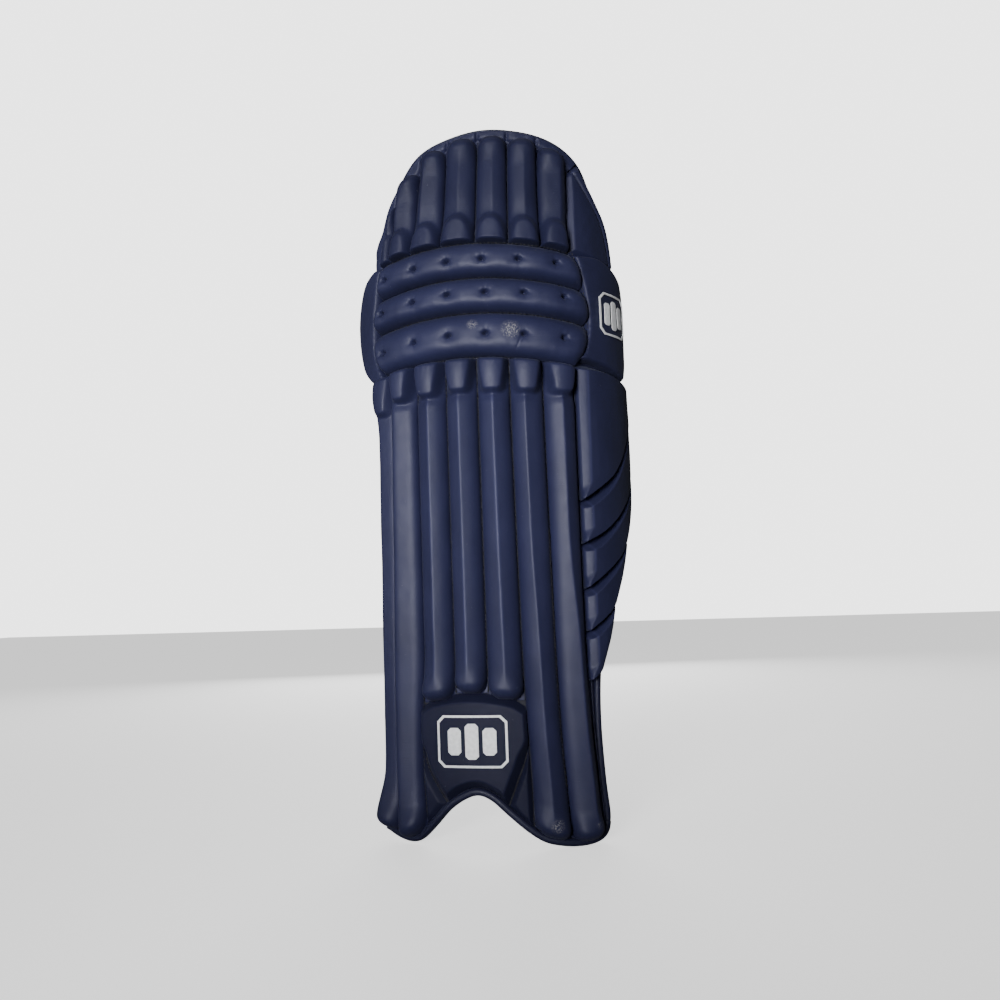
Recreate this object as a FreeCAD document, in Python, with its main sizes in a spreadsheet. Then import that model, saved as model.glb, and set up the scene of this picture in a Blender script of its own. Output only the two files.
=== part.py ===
import FreeCAD, Part
import math
import os
import Sketcher
from FreeCAD import Placement, Rotation, Vector

# Cricket leg pad for a left leg, worn side towards +Y, outer side of the leg towards +X.
# Lengths in millimetres. Along the pad, places are given as an arc length around its outer
# surface (0 at the middle bar, + towards the outer side), a level above the hem and a height
# above (or below) the surface in which the seams between the bars lie.

doc = FreeCAD.newDocument("cricket_leg_pad")
sheet = doc.addObject("Spreadsheet::Sheet", "sizes")

SIZES = {
    # where the plan's centre and the hem's zero level lie in the part's own frame
    "plan_x": -15,
    "plan_y": 144.3,
    "base_lift": 4,
    # the plan curve: a flat front, two tighter flanks and the outer wing
    "front_radius": 240,
    "flank_radius": 110,
    "flank_start": 75,
    "wing_radius": 117,
    "wing_root": 122.5,
    # clearances
    "seam_gap": 0.6,
    "body_gap": 1.2,
    "skin_gap": 0.2,
    # shin bars
    "bar_pitch": 35,
    "bar_edge": 3,
    "bar_ridge": 17,
    "cane_radius": 3,
    "cane_clearance": 0.3,
    "cane_height": 6,
    "knuckle_width": 24,
    "knuckle_base": 11,
    "knuckle_face": 21,
    "bar_low_1": 11,
    "bar_low_2": 6,
    "bar_low_3": 155,
    "bar_low_4": 158,
    "bar_low_5": 152,
    "bar_low_6": 8,
    "bar_low_7": 1,
    "knuckle_low_1": 463,
    "knuckle_low_2": 474,
    "knuckle_low_3": 475,
    "knuckle_low_4": 477,
    "knuckle_low_5": 475.5,
    "knuckle_low_6": 473,
    "knuckle_low_7": 471,
    # layers behind the bars
    "backing_thickness": 6,
    "knee_backing_thickness": 8,
    "lining_depth": 22,
    "lining_bolster_width": 50,
    "lining_low": 60,
    "lining_high": 490,
    # knee rolls: the levels of the four cross seams at the middle, and how they droop
    "seam_low": 516,
    "seam_lower_roll": 565,
    "seam_upper_roll": 604,
    "seam_high": 643,
    "droop_radius": 530,
    "roll_height": 21,
    # side wings
    "wing_thickness": 22,
    "wing_lining": 4,
    "knee_wing_thickness": 16,
    # thigh section
    "thigh_bar_height": 13,
    "thigh_panel_height": 8,
    # instep
    "badge_height": 12,
    "gusset_height": 6,
    "hem_height": 6,
    "hem_width": 8,
    "emblem_thickness": 1.2,
    # straps
    "strap_centre_y": -138,
    "strap_radius": 108,
    "strap_thickness": 2.5,
    "strap_width": 38,
    "knee_strap_width": 32,
    "strap_upper_level": 400,
    "strap_lower_level": 230,
    "knee_strap_level": 574,
    "strap_root_angle": -28,
    "strap_tab_place": 119.7,
    "ring_bar_radius": 1.75,
    "ring_circle_radius": 112.5,
    "ring_front_angle": 202.5,
    "ring_rear_angle": 196.2,
    "ring_slack": 3,
    "tail_end_angle": 141,
    "fold_angle": 65,
    "patch_thickness": 1.7,
}

for row, (alias, number) in enumerate(SIZES.items(), 1):
    sheet.set(f"A{row}", alias)
    sheet.set(f"B{row}", str(number))
    sheet.setAlias(f"B{row}", alias)
doc.recompute()

PIECES = []


def size(alias):
    """The number in the sheet's cell of that alias."""
    return float(sheet.get(alias))


# ---------------------------------------------------------------- the pad's outer surface

def flank_centre(side):
    """Centre of the flank's arc on the inner (-1) or outer (+1) side of the leg."""
    turn = size("flank_start") / size("front_radius")
    offset = size("front_radius") - size("flank_radius")
    return Vector(side * offset * math.sin(turn), -offset * math.cos(turn), 0)


def outward(heading):
    """Unit vector that leaves the surface where its heading is that angle."""
    return Vector(math.sin(heading), -math.cos(heading), 0)


def heading_at(place, wing=False):
    """Angle of the surface at an arc length, 0 where it faces -Y."""
    start = size("flank_start")
    turn = start / size("front_radius")
    if wing and place > size("wing_root"):
        return heading_at(size("wing_root")) + (place - size("wing_root")) / size("wing_radius")
    if abs(place) <= start:
        return place / size("front_radius")
    side = math.copysign(1, place)
    return side * (turn + (abs(place) - start) / size("flank_radius"))


def surface(place, height, wing=False):
    """Point at an arc length and a height above the surface, on level 0."""
    heading = heading_at(place, wing)
    if wing and place > size("wing_root"):
        root = surface(size("wing_root"), 0)
        centre = root - outward(heading_at(size("wing_root"))) * size("wing_radius")
        return centre + outward(heading) * (size("wing_radius") + height)
    if abs(place) <= size("flank_start"):
        return outward(heading) * (size("front_radius") + height)
    centre = flank_centre(math.copysign(1, place))
    return centre + outward(heading) * (size("flank_radius") + height)


def surface_edges(first, last, height, wing):
    """The surface's arcs between two arc lengths, at one height."""
    joints = [place for place in (-size("flank_start"), size("flank_start")) if first < place < last]
    stops = [first] + joints + [last]
    edges = []
    for start, end in zip(stops, stops[1:]):
        points = [surface(place, height, wing) for place in (start, (start + end) / 2, end)]
        edges.append(Part.Arc(*points).toShape())
    return edges


def shell(first, last, inner, outer, low, high, wing=False):
    """A curved layer between two arc lengths, two heights and two levels."""
    edges = surface_edges(first, last, outer, wing) + surface_edges(first, last, inner, wing)
    for place in (first, last):
        edges.append(Part.makeLine(surface(place, inner, wing), surface(place, outer, wing)))
    face = Part.Face(Part.Wire(Part.sortEdges(edges)[0]))
    face.translate(Vector(0, 0, low))
    return face.extrude(Vector(0, 0, high - low))


def cutter(outline, height, heading=0, wing=False):
    """A block of the outline's shape that goes straight through the surface.

    The outline is a closed loop of (place, level) corners; a corner written
    (place, level, "through") is the middle of a round stretch.
    """
    across = Vector(math.cos(heading), math.sin(heading), 0)

    def corner(point):
        return across * surface(point[0], height, wing).dot(across) + Vector(0, 0, point[1])

    loop = outline + outline[:1]
    edges = []
    index = 0
    while index < len(outline):
        if len(loop[index + 1]) == 3:
            points = [corner(point) for point in loop[index:index + 3]]
            edges.append(Part.Arc(*points).toShape())
            index += 2
        else:
            edges.append(Part.makeLine(corner(loop[index]), corner(loop[index + 1])))
            index += 1
    reach = size("front_radius") + 80
    return Part.Face(Part.Wire(edges)).extrude(outward(heading) * reach)


def panel(outline, inner, outer, heading=0, wing=False):
    """A curved layer with an outline of its own."""
    places = [point[0] for point in outline]
    levels = [point[1] for point in outline]
    margin = 14
    layer = shell(min(places) - margin, max(places) + margin, inner, outer,
                  min(levels) - margin, max(levels) + margin, wing)
    return layer.common(cutter(outline, (inner + outer) / 2, heading, wing))


def seam_level(alias, x):
    """Level of a cross seam at a distance from the pad's middle plane."""
    radius = size("droop_radius")
    return size(alias) - radius + math.sqrt(radius * radius - x * x)


def between_seams(low_level, high_level):
    """A block between two drooping seams that are arcs in front view."""
    reach = 190
    radius = size("droop_radius")
    drop = radius - math.sqrt(radius * radius - reach * reach)
    edges = []
    for level in (low_level, high_level):
        edges.append(Part.Arc(Vector(-reach, 0, level - drop), Vector(0, 0, level),
                              Vector(reach, 0, level - drop)).toShape())
    for x in (-reach, reach):
        edges.append(Part.makeLine(Vector(x, 0, low_level - drop), Vector(x, 0, high_level - drop)))
    face = Part.Face(Part.Wire(Part.sortEdges(edges)[0]))
    return face.extrude(Vector(0, -size("front_radius") - 80, 0))


# ---------------------------------------------------------------- objects

def pad_placement(point=None, heading=0):
    """Placement in the part's frame of something drawn around the plan's centre."""
    base = Vector(size("plan_x"), size("plan_y"), size("base_lift"))
    return Placement(base + (point or Vector(0, 0, 0)), Rotation(Vector(0, 0, 1), math.degrees(heading)))


def keep(piece, label, placement=None):
    """Names a finished piece, puts it in place and lists it for export."""
    piece.Label = label
    piece.Placement = placement or pad_placement()
    PIECES.append(piece)
    return piece


def formed(label, shape):
    """A piece whose curved shape is worked out from the sheet's sizes."""
    piece = doc.addObject("Part::Feature", label)
    piece.Shape = shape
    return keep(piece, label)


def origin_plane(body, role):
    """The body's own origin plane of that role."""
    return [item for item in body.Origin.OriginFeatures if item.Role == role][0]


def gable_sketch(body, with_bore):
    """Cross-section of a shin bar: a flat base, two low sides and a ridge towards -Y."""
    half = (size("bar_pitch") - size("seam_gap")) / 2
    edge = size("bar_edge")
    ridge = size("bar_ridge")
    corners = [(-half, 0), (half, 0), (half, -edge), (0, -ridge), (-half, -edge)]
    sketch = body.newObject("Sketcher::SketchObject", body.Name + "_section")
    sketch.AttachmentSupport = (origin_plane(body, "XY_Plane"), [""])
    sketch.MapMode = "FlatFace"
    for start, end in zip(corners, corners[1:] + corners[:1]):
        sketch.addGeometry(Part.LineSegment(Vector(*start, 0), Vector(*end, 0)), False)
    for line in range(5):
        sketch.addConstraint(Sketcher.Constraint("Coincident", line, 2, (line + 1) % 5, 1))
    sketch.addConstraint(Sketcher.Constraint("Horizontal", 0))
    sketch.addConstraint(Sketcher.Constraint("Vertical", 1))
    sketch.addConstraint(Sketcher.Constraint("Vertical", 4))
    sketch.addConstraint(Sketcher.Constraint("Symmetric", 0, 1, 0, 2, -1, 1))
    sketch.addConstraint(Sketcher.Constraint("Equal", 1, 4))
    sketch.addConstraint(Sketcher.Constraint("PointOnObject", 2, 2, -2))
    dimensions = [
        ("width", Sketcher.Constraint("DistanceX", 0, 1, 0, 2, 2 * half), "sizes.bar_pitch - sizes.seam_gap"),
        ("side", Sketcher.Constraint("DistanceY", 1, 2, 1, 1, edge), "sizes.bar_edge"),
        ("ridge", Sketcher.Constraint("DistanceY", 2, 2, -1, 1, ridge), "sizes.bar_ridge"),
    ]
    if with_bore:
        radius = size("cane_radius") + size("cane_clearance")
        circle = Part.Circle(Vector(0, -size("cane_height"), 0), Vector(0, 0, 1), radius)
        sketch.addGeometry(circle, False)
        sketch.addConstraint(Sketcher.Constraint("PointOnObject", 5, 3, -2))
        dimensions.append(("bore", Sketcher.Constraint("Radius", 5, radius),
                           "sizes.cane_radius + sizes.cane_clearance"))
        dimensions.append(("bore_height", Sketcher.Constraint("DistanceY", 5, 3, -1, 1, size("cane_height")),
                           "sizes.cane_height"))
    for name, constraint, expression in dimensions:
        index = sketch.addConstraint(constraint)
        sketch.renameConstraint(index, name)
        sketch.setExpression("Constraints." + name, expression)
    return sketch


def bar_place(number):
    """Arc length of the middle of shin bar 1 to 7."""
    return (number - 4) * size("bar_pitch")


def bar_drop(number):
    """How far the cross seam above a shin bar has drooped at that bar's outer corner."""
    x = abs(surface(bar_place(number), 0).x) + size("bar_pitch") / 2
    return size("seam_low") - seam_level("seam_low", x)


def shin_bar(number):
    """One upright padded bar with the raised knuckle at its top."""
    body = doc.addObject("PartDesign::Body", f"bar_{number}")
    pad = body.newObject("PartDesign::Pad", body.Name + "_length")
    pad.Profile = gable_sketch(body, with_bore=True)
    top = f"sizes.seam_low - sizes.body_gap - {bar_drop(number):.3f}"
    pad.setExpression("Length", f"{top} - sizes.bar_low_{number}")
    knuckle = body.newObject("PartDesign::AdditiveBox", body.Name + "_knuckle")
    knuckle.setExpression("Length", "sizes.knuckle_width")
    knuckle.setExpression("Width", "sizes.knuckle_face - sizes.knuckle_base")
    knuckle.setExpression("Height", f"{top} - sizes.knuckle_low_{number}")
    knuckle.Placement = Placement(
        Vector(-size("knuckle_width") / 2, -size("knuckle_face"),
               size(f"knuckle_low_{number}") - size(f"bar_low_{number}")), Rotation())
    foot = surface(bar_place(number), size("skin_gap")) + Vector(0, 0, size(f"bar_low_{number}"))
    place = pad_placement(foot, heading_at(bar_place(number)))
    label = f"shin_bar_{number}"
    if number in (3, 4, 5):
        keep(body, label, place)
        return
    body.Placement = place
    zone = doc.addObject("Part::Feature", label + "_foot_zone")
    zone.Shape = foot_zone(size("hem_width"))
    zone.Placement = pad_placement()
    trimmed = doc.addObject("Part::Cut", label + "_trimmed")
    trimmed.Base = body
    trimmed.Tool = zone
    keep(trimmed, label, Placement())


def shin_canes():
    """The stiff canes inside the bars, one per bar."""
    rods = []
    for number in range(1, 8):
        rod = doc.addObject("Part::Cylinder", f"cane_{number}")
        rod.setExpression("Radius", "sizes.cane_radius")
        rod.setExpression("Height", f"sizes.knuckle_low_{number} - sizes.bar_low_{number} - 10")
        height = size("skin_gap") + size("cane_height")
        level = Vector(0, 0, size(f"bar_low_{number}") + 5)
        rod.Placement = Placement(surface(bar_place(number), height) + level, Rotation())
        rods.append(rod)
    group = doc.addObject("Part::Compound", "shin_canes")
    group.Links = rods
    keep(group, "shin_canes")


# ---------------------------------------------------------------- shin section

HEM_LEFT = (-121.5, 4)
ARCH_LEFT = (-62, 0)
ARCH_RIGHT = (62, 6)
ARCH_TOP = (2, 55)
HEM_RIGHT = (121.5, -4)


def foot_zone(width):
    """Everything below a line that runs above the hem and the instep arch by a width."""
    outline = [
        (-130, HEM_LEFT[1] + width),
        (ARCH_LEFT[0] - width / 2, ARCH_LEFT[1] + width),
        (ARCH_TOP[0], ARCH_TOP[1] + width, "through"),
        (ARCH_RIGHT[0] + width / 2, ARCH_RIGHT[1] + width),
        (130, HEM_RIGHT[1] + width),
        (130, -60),
        (-130, -60),
    ]
    return cutter(outline, 0)


def shin_backing():
    """The firm board that the bars are sewn to, with the instep arch cut out of its foot."""
    layer = shell(-122, 122, -size("backing_thickness"), 0, -20, 560)
    top = size("seam_low") - size("body_gap")
    shape = layer.cut(foot_zone(size("hem_width"))).common(between_seams(-60, top))
    formed("shin_backing", shape)


def shin_lining():
    """The three upright bolsters against the shin: a flat middle one and two curved ones."""
    middle = doc.addObject("Part::Box", "shin_lining_centre")
    middle.setExpression("Length", "sizes.lining_bolster_width")
    middle.setExpression("Width", "sizes.lining_depth - sizes.backing_thickness - 1.8")
    middle.setExpression("Height", "sizes.lining_high - sizes.lining_low - 10")
    depth = size("front_radius") - size("backing_thickness") - 1.8
    corner = Vector(-size("lining_bolster_width") / 2, -depth, size("lining_low") + 10)
    keep(middle, "shin_lining_centre", pad_placement(corner))
    inner = -size("lining_depth")
    outer = -size("backing_thickness") - size("skin_gap")
    for side, first, last in (("left", -118, -29), ("right", 29, 118)):
        layer = shell(first, last, inner, outer, size("lining_low") - 30, size("lining_high"))
        formed(f"shin_lining_{side}", layer.cut(foot_zone(size("hem_width"))))


SHIELD = [(-51.5, 118), (-51.5, 141), (0, 152.5, "through"), (51.5, 141), (51.5, 112), (33, 52), (-25, 52)]


def shield_block():
    """The badge panel's outline with a seam's width around its sides."""
    gap = size("seam_gap")
    sides = [(-51.5 - gap, 118), (-51.5 - gap, 160), (51.5 + gap, 160), (51.5 + gap, 112),
             (33 + gap, 52), (33 + gap, 20), (-25 - gap, 20), (-25 - gap, 52)]
    return cutter(sides, size("badge_height") / 2)


def instep_pieces():
    """The shield-shaped badge panel over the foot, its two gussets and its plain badge."""
    base = size("skin_gap")
    layer = shell(-70, 70, base, size("badge_height"), 40, 170)
    shape = layer.common(cutter(SHIELD, size("badge_height") / 2)).cut(foot_zone(size("hem_width")))
    formed("instep_badge_panel", shape)
    foot = foot_zone(size("hem_width"))
    for side, outer_level in ((-1, 115), (1, 109)):
        corners = [(side * 51.5, outer_level), (side * 25, 57), (side * 25, 20), (side * 51.5, 20)]
        shape = panel(corners, base, size("gusset_height")).cut(shield_block())
        label = "instep_gusset_left" if side < 0 else "instep_gusset_right"
        formed(label, shape.cut(foot))
    badge = [(-36, 86), (-30, 82), (30, 82), (36, 86), (36, 128), (30, 132), (-30, 132), (-36, 128)]
    low = size("badge_height") + size("skin_gap")
    formed("instep_emblem", panel(badge, low, low + size("emblem_thickness")))


def hem_piping():
    """The stout piping along the pad's foot and around the instep arch."""
    width = size("hem_width") - size("seam_gap")
    outline = [
        HEM_LEFT,
        ARCH_LEFT,
        (ARCH_TOP[0], ARCH_TOP[1], "through"),
        ARCH_RIGHT,
        HEM_RIGHT,
        (HEM_RIGHT[0], HEM_RIGHT[1] + width - 3),
        (ARCH_RIGHT[0] + 3, ARCH_RIGHT[1] + width - 3),
        (ARCH_TOP[0], ARCH_TOP[1] + width, "through"),
        (ARCH_LEFT[0] - 3, ARCH_LEFT[1] + width - 3),
        (HEM_LEFT[0], HEM_LEFT[1] + width - 3),
    ]
    layer = shell(-122, 122, -size("backing_thickness"), size("hem_height"), -20, 90)
    formed("hem_piping", layer.common(cutter(outline, 0)))


def side_gusset():
    """The thin gusset that closes the foot of the outer edge, below the wing."""
    outline = [(123.4, 0), (131, -3), (145, 9.5), (146, 26), (140, 70), (137, 150), (123.4, 158)]
    layer = shell(123.4, 160, -3, 4, -20, 180)
    formed("side_gusset_lower", layer.common(cutter(outline, 0.5)))


def edge_piping():
    """The piping down the pad's inner edge."""
    formed("edge_piping_left", shell(-126, -122.6, -6, 2, 12, 495))


# ---------------------------------------------------------------- outer shin wing

WING_SEAMS = [
    ((123.8, 494), (236, 497)),
    ((123.8, 354.5), (246, 466)),
    ((123.8, 308.5), (241, 402)),
    ((123.8, 260), (212, 331)),
    ((123.8, 215), (178, 264)),
    ((123.8, 167), (148, 196)),
]
WING_REAR = [(244, 482), (248, 430), (230, 362), (197, 300), (160, 225)]


def wing_heading():
    """Direction in which the wing's seams are cut through it."""
    return heading_at(size("wing_root") + 60, wing=True)


def wing_segment(number):
    """One padded segment of the outer wing, between two slanting seams."""
    above = WING_SEAMS[number - 1]
    below = WING_SEAMS[number]
    gap = size("seam_gap") / 2
    outline = [(above[0][0], above[0][1] - gap), (above[1][0], above[1][1] - gap), WING_REAR[number - 1],
               (below[1][0], below[1][1] + gap), (below[0][0], below[0][1] + gap)]
    layer = shell(123.8, 252, size("skin_gap"), size("wing_thickness"), 100, 560, wing=True)
    shape = layer.common(cutter(outline, size("wing_thickness") / 2, wing_heading(), wing=True))
    formed(f"wing_segment_{number}", shape)


def wing_backing():
    """The wing's lining, which carries the five segments."""
    outline = [WING_SEAMS[0][0]]
    for above, rear in zip(WING_SEAMS, WING_REAR):
        outline += [above[1], rear]
    outline += [WING_SEAMS[5][1], WING_SEAMS[5][0]]
    layer = shell(123.8, 252, -size("wing_lining"), 0, 100, 560, wing=True)
    formed("wing_backing", layer.common(cutter(outline, -2, wing_heading(), wing=True)))


# ---------------------------------------------------------------- knee section

KNEE_PARTS = [
    ("lower", "seam_low", "seam_lower_roll", -113, 134),
    ("middle", "seam_lower_roll", "seam_upper_roll", -113, 144),
    ("upper", "seam_upper_roll", "seam_high", -106, 137),
]


def knee_part(name, low, high, first, last):
    """One knee roll with the board behind it and the cup padding behind that."""
    low_level = size(low) + size("seam_gap") / 2
    high_level = size(high) - size("seam_gap") / 2
    block = between_seams(low_level, high_level)
    skin = size("skin_gap")
    back = size("knee_backing_thickness")
    layers = [
        (f"knee_roll_{name}", first, last, skin, size("roll_height")),
        (f"knee_backing_{name}", first, last - 1, -back, 0),
        (f"knee_cup_{name}", -104, 118, -size("lining_depth"), -back - skin),
    ]
    for label, start, end, inner, outer in layers:
        layer = shell(start, end, inner, outer, low_level - 80, high_level + 20)
        formed(label, layer.common(block))


def knee_wings():
    """The padded flaps beside the rolls, and the outer flap's plain badge."""
    thickness = size("knee_wing_thickness")
    skin = size("skin_gap")
    outer = [(148, 623), (165, 620), (190, 616), (213, 598), (218, 560), (215, 520), (207, 502), (148, 502)]
    layer = shell(148, 225, skin, thickness, 450, 680)
    formed("knee_wing_outer", layer.common(cutter(outer, thickness / 2, heading_at(185))))
    inner = [(-117.5, 627), (-131, 618), (-147, 575, "through"), (-138, 527), (-117.5, 507)]
    layer = shell(-160, -117.5, skin, thickness, 450, 680)
    formed("knee_wing_inner", layer.common(cutter(inner, thickness / 2, heading_at(-130))))
    badge = [(156, 592), (196, 592), (200, 588), (200, 546), (196, 542), (156, 542), (152, 546), (152, 588)]
    low = thickness + skin
    layer = shell(150, 204, low, low + size("emblem_thickness"), 500, 640)
    formed("knee_wing_emblem", layer.common(cutter(badge, low, heading_at(177))))


# ---------------------------------------------------------------- thigh section

THIGH_SEAMS = [
    ((-104, 640), (-79, 706)),
    ((-83, 640), (-70, 722)),
    ((-56, 640), (-40, 744)),
    ((-20, 640), (-8, 756)),
    ((20, 640), (27, 762)),
    ((56.5, 640), (60, 761)),
    ((91, 640), (94, 753)),
    ((125.5, 620), (124, 724)),
]


def thigh_outline(inset):
    """The dome of the top edge, moved inwards by the inset."""
    return [
        (-106 + inset, 560), (-106 + inset, 650), (-68 + inset, 713.5 - inset),
        (-3, 762.6 - inset, "through"), (41.6, 767 - inset), (101, 755 - inset, "through"),
        (138 - inset, 735 - inset), (199 - inset, 640), (199 - inset, 560),
    ]


def thigh_block():
    """Everything above the knee's top seam."""
    return between_seams(size("seam_high") + size("body_gap"), 820)


def thigh_bar(number):
    """One of the seven bars that fan out over the thigh."""
    left = THIGH_SEAMS[number - 1]
    right = THIGH_SEAMS[number]
    gap = size("seam_gap") / 2
    outline = [(left[0][0] + gap, left[0][1] - 30), (left[1][0] + gap, left[1][1]),
               (right[1][0] - gap, right[1][1]), (right[0][0] - gap, right[0][1] - 30)]
    high = size("thigh_bar_height")
    layer = shell(outline[0][0] - 10, outline[3][0] + 10, size("skin_gap"), high, 560, 800)
    middle = (left[0][0] + right[0][0]) / 2
    shape = layer.common(cutter(outline, 0, heading_at(middle)))
    shape = shape.common(cutter(thigh_outline(6), high / 2)).common(thigh_block())
    formed(f"thigh_bar_{number}", shape)


def thigh_skins():
    """The thigh's board, its plain outer side panel, the rim around the top and the lining."""
    back = -size("backing_thickness")
    skin = size("skin_gap")
    whole = cutter(thigh_outline(0), 0)
    board = shell(-106, 199, back, 0, 560, 800).common(whole).common(thigh_block())
    formed("thigh_backing", board)
    side = [(127, 560), (125, 722), (133, 726), (150, 697), (169, 661), (186, 640), (186, 560)]
    layer = shell(110, 196, skin, size("thigh_panel_height"), 560, 800)
    formed("thigh_side_panel", layer.common(cutter(side, 0, heading_at(140))).common(thigh_block()))
    rim = shell(-106, 160, skin, 5, 560, 800).common(whole).cut(cutter(thigh_outline(5.4), 6.5))
    rim = rim.cut(cutter([(124, 500), (124, 800), (205, 800), (205, 500)], 3))
    formed("thigh_binding", rim.common(thigh_block()).common(shell(-106, 130, skin, 5, 660, 800)))
    lining = shell(-92, 112, -size("lining_depth"), back - skin, 560, 800)
    formed("thigh_lining", lining.common(cutter(thigh_outline(14), -14)).common(thigh_block()))


# ---------------------------------------------------------------- straps

def sector(name, inner, outer, width, start, end, level):
    """Part of a hoop around the leg: an outer sector less an inner cylinder."""
    hoop = doc.addObject("Part::Cylinder", name + "_outside")
    hoop.setExpression("Radius", outer)
    hoop.setExpression("Height", width)
    hoop.Angle = end - start
    hoop.Placement = Placement(Vector(0, 0, level), Rotation(Vector(0, 0, 1), start))
    hole = doc.addObject("Part::Cylinder", name + "_inside")
    hole.setExpression("Radius", inner)
    hole.setExpression("Height", f"{width} + 2")
    hole.Placement = Placement(Vector(0, 0, level - 1), Rotation())
    ring = doc.addObject("Part::Cut", name)
    ring.Base = hoop
    ring.Tool = hole
    return ring


def strap_centre():
    """Axis of the hoop that the straps form around the leg."""
    return Vector(0, size("strap_centre_y"), 0)


def hoop_point(angle):
    """Point of the ring bars' circle, drawn around the strap's axis."""
    radius = size("ring_circle_radius")
    return Vector(radius * math.cos(math.radians(angle)), radius * math.sin(math.radians(angle)), 0)


def edge_tab(name, side, width, level, outer_height):
    """The end of a strap that is sewn into the pad's edge seam."""
    place = side * size("strap_tab_place")
    inner = size("lining_depth") + 0.5
    tab = doc.addObject("Part::Box", name + "_tab")
    tab.setExpression("Length", "sizes.strap_thickness")
    tab.Width = inner - outer_height
    tab.setExpression("Height", width)
    heading = heading_at(place)
    across = Vector(math.cos(heading), math.sin(heading), 0)
    corner = surface(place, -outer_height) - across * (size("strap_thickness") / 2) - strap_centre()
    tab.Placement = Placement(corner + Vector(0, 0, level), Rotation(Vector(0, 0, 1), math.degrees(heading)))
    return tab


def join(name, parts):
    """Several overlapping solids as one."""
    whole = doc.addObject("Part::MultiFuse", name)
    whole.Shapes = parts
    return whole


def strap_band(name, width, level, edge_height):
    """A strap from the outer edge around the back of the leg to its ring."""
    band = sector(name + "_band", "sizes.strap_radius", "sizes.strap_radius + sizes.strap_thickness",
                  width, size("strap_root_angle"), size("ring_rear_angle"), level)
    whole = join(name, [band, edge_tab(name, 1, width, level, edge_height)])
    keep(whole, name, pad_placement(strap_centre()))


def keeper(name, width, level, edge_height):
    """The short loop of webbing at the inner edge that holds a ring."""
    inner = "sizes.ring_circle_radius - sizes.strap_thickness / 2"
    outer = "sizes.ring_circle_radius + sizes.strap_thickness / 2"
    band = sector(name + "_web", inner, outer, width, size("ring_front_angle") + 1.2, 208.2, level)
    eye = doc.addObject("Part::Cylinder", name + "_eye")
    eye.setExpression("Radius", "sizes.ring_bar_radius + sizes.strap_thickness")
    eye.setExpression("Height", width)
    eye.Placement = Placement(hoop_point(size("ring_front_angle")) + Vector(0, 0, level), Rotation())
    bore = doc.addObject("Part::Cylinder", name + "_bore")
    bore.setExpression("Radius", "sizes.ring_bar_radius + 0.25")
    bore.setExpression("Height", f"{width} + 2")
    bore.Placement = Placement(hoop_point(size("ring_front_angle")) + Vector(0, 0, level - 1), Rotation())
    solid = join(name + "_solid", [band, eye, edge_tab(name, -1, width, level, edge_height)])
    whole = doc.addObject("Part::Cut", name)
    whole.Base = solid
    whole.Tool = bore
    return whole


def ring(name, width, level):
    """A rectangular ring: two upright bars and two short links."""
    bar = size("ring_bar_radius")
    slack = size("ring_slack")
    bars = []
    for part, angle in (("front", size("ring_front_angle")), ("rear", size("ring_rear_angle"))):
        upright = doc.addObject("Part::Cylinder", f"{name}_{part}")
        upright.setExpression("Radius", "sizes.ring_bar_radius")
        upright.setExpression("Height", f"{width} + sizes.ring_slack + 4 * sizes.ring_bar_radius")
        lowest = level - slack / 2 - 2 * bar
        upright.Placement = Placement(hoop_point(angle) + Vector(0, 0, lowest), Rotation())
        bars.append(upright)
    front = hoop_point(size("ring_front_angle"))
    rear = hoop_point(size("ring_rear_angle"))
    turn = math.degrees(math.atan2(rear.y - front.y, rear.x - front.x))
    for part, low in (("bottom", level - slack / 2 - 2 * bar), ("top", None)):
        link = doc.addObject("Part::Box", f"{name}_{part}")
        link.Length = (rear - front).Length
        link.setExpression("Width", "2 * sizes.ring_bar_radius")
        link.setExpression("Height", "2 * sizes.ring_bar_radius")
        if low is None:
            low = level + size(width.split(".")[1]) + slack / 2
        side = Rotation(Vector(0, 0, 1), turn).multVec(Vector(0, -bar, 0))
        link.Placement = Placement(front + side + Vector(0, 0, low), Rotation(Vector(0, 0, 1), turn))
        bars.append(link)
    return join(name, bars)


def strap_tail(name, width, level):
    """The free end: folded back around the ring's rear bar, with its hook patch."""
    rear = size("ring_rear_angle")
    inner = "sizes.ring_circle_radius + sizes.ring_bar_radius + 0.2"
    band = sector(name + "_band", inner, inner + " + sizes.strap_thickness", width,
                  size("tail_end_angle"), rear, level)
    hook = sector(name + "_hook", "sizes.ring_circle_radius", inner + " + 0.3", width,
                  size("tail_end_angle") + 8, rear - 10, level)
    fold = sector(name + "_fold", "sizes.ring_bar_radius + 0.2",
                  "sizes.ring_bar_radius + 0.2 + sizes.strap_thickness", width,
                  rear - 2, rear + size("fold_angle"), level)
    for cylinder in (fold.Base, fold.Tool):
        turn = cylinder.Placement.Rotation
        cylinder.Placement = Placement(cylinder.Placement.Base + hoop_point(rear), turn)
    keep(join(name, [band, hook, fold]), name, pad_placement(strap_centre()))


def loop_patch(name, width, level):
    """The soft patch on the band that the hook patch grips."""
    inner = "sizes.strap_radius + sizes.strap_thickness"
    return sector(name, inner, inner + " + sizes.patch_thickness", width, 100,
                  size("ring_rear_angle") - 9, level)


def group(name, members):
    """Two identical pieces that share one name."""
    whole = doc.addObject("Part::Compound", name)
    whole.Links = members
    keep(whole, name, pad_placement(strap_centre()))


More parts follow.
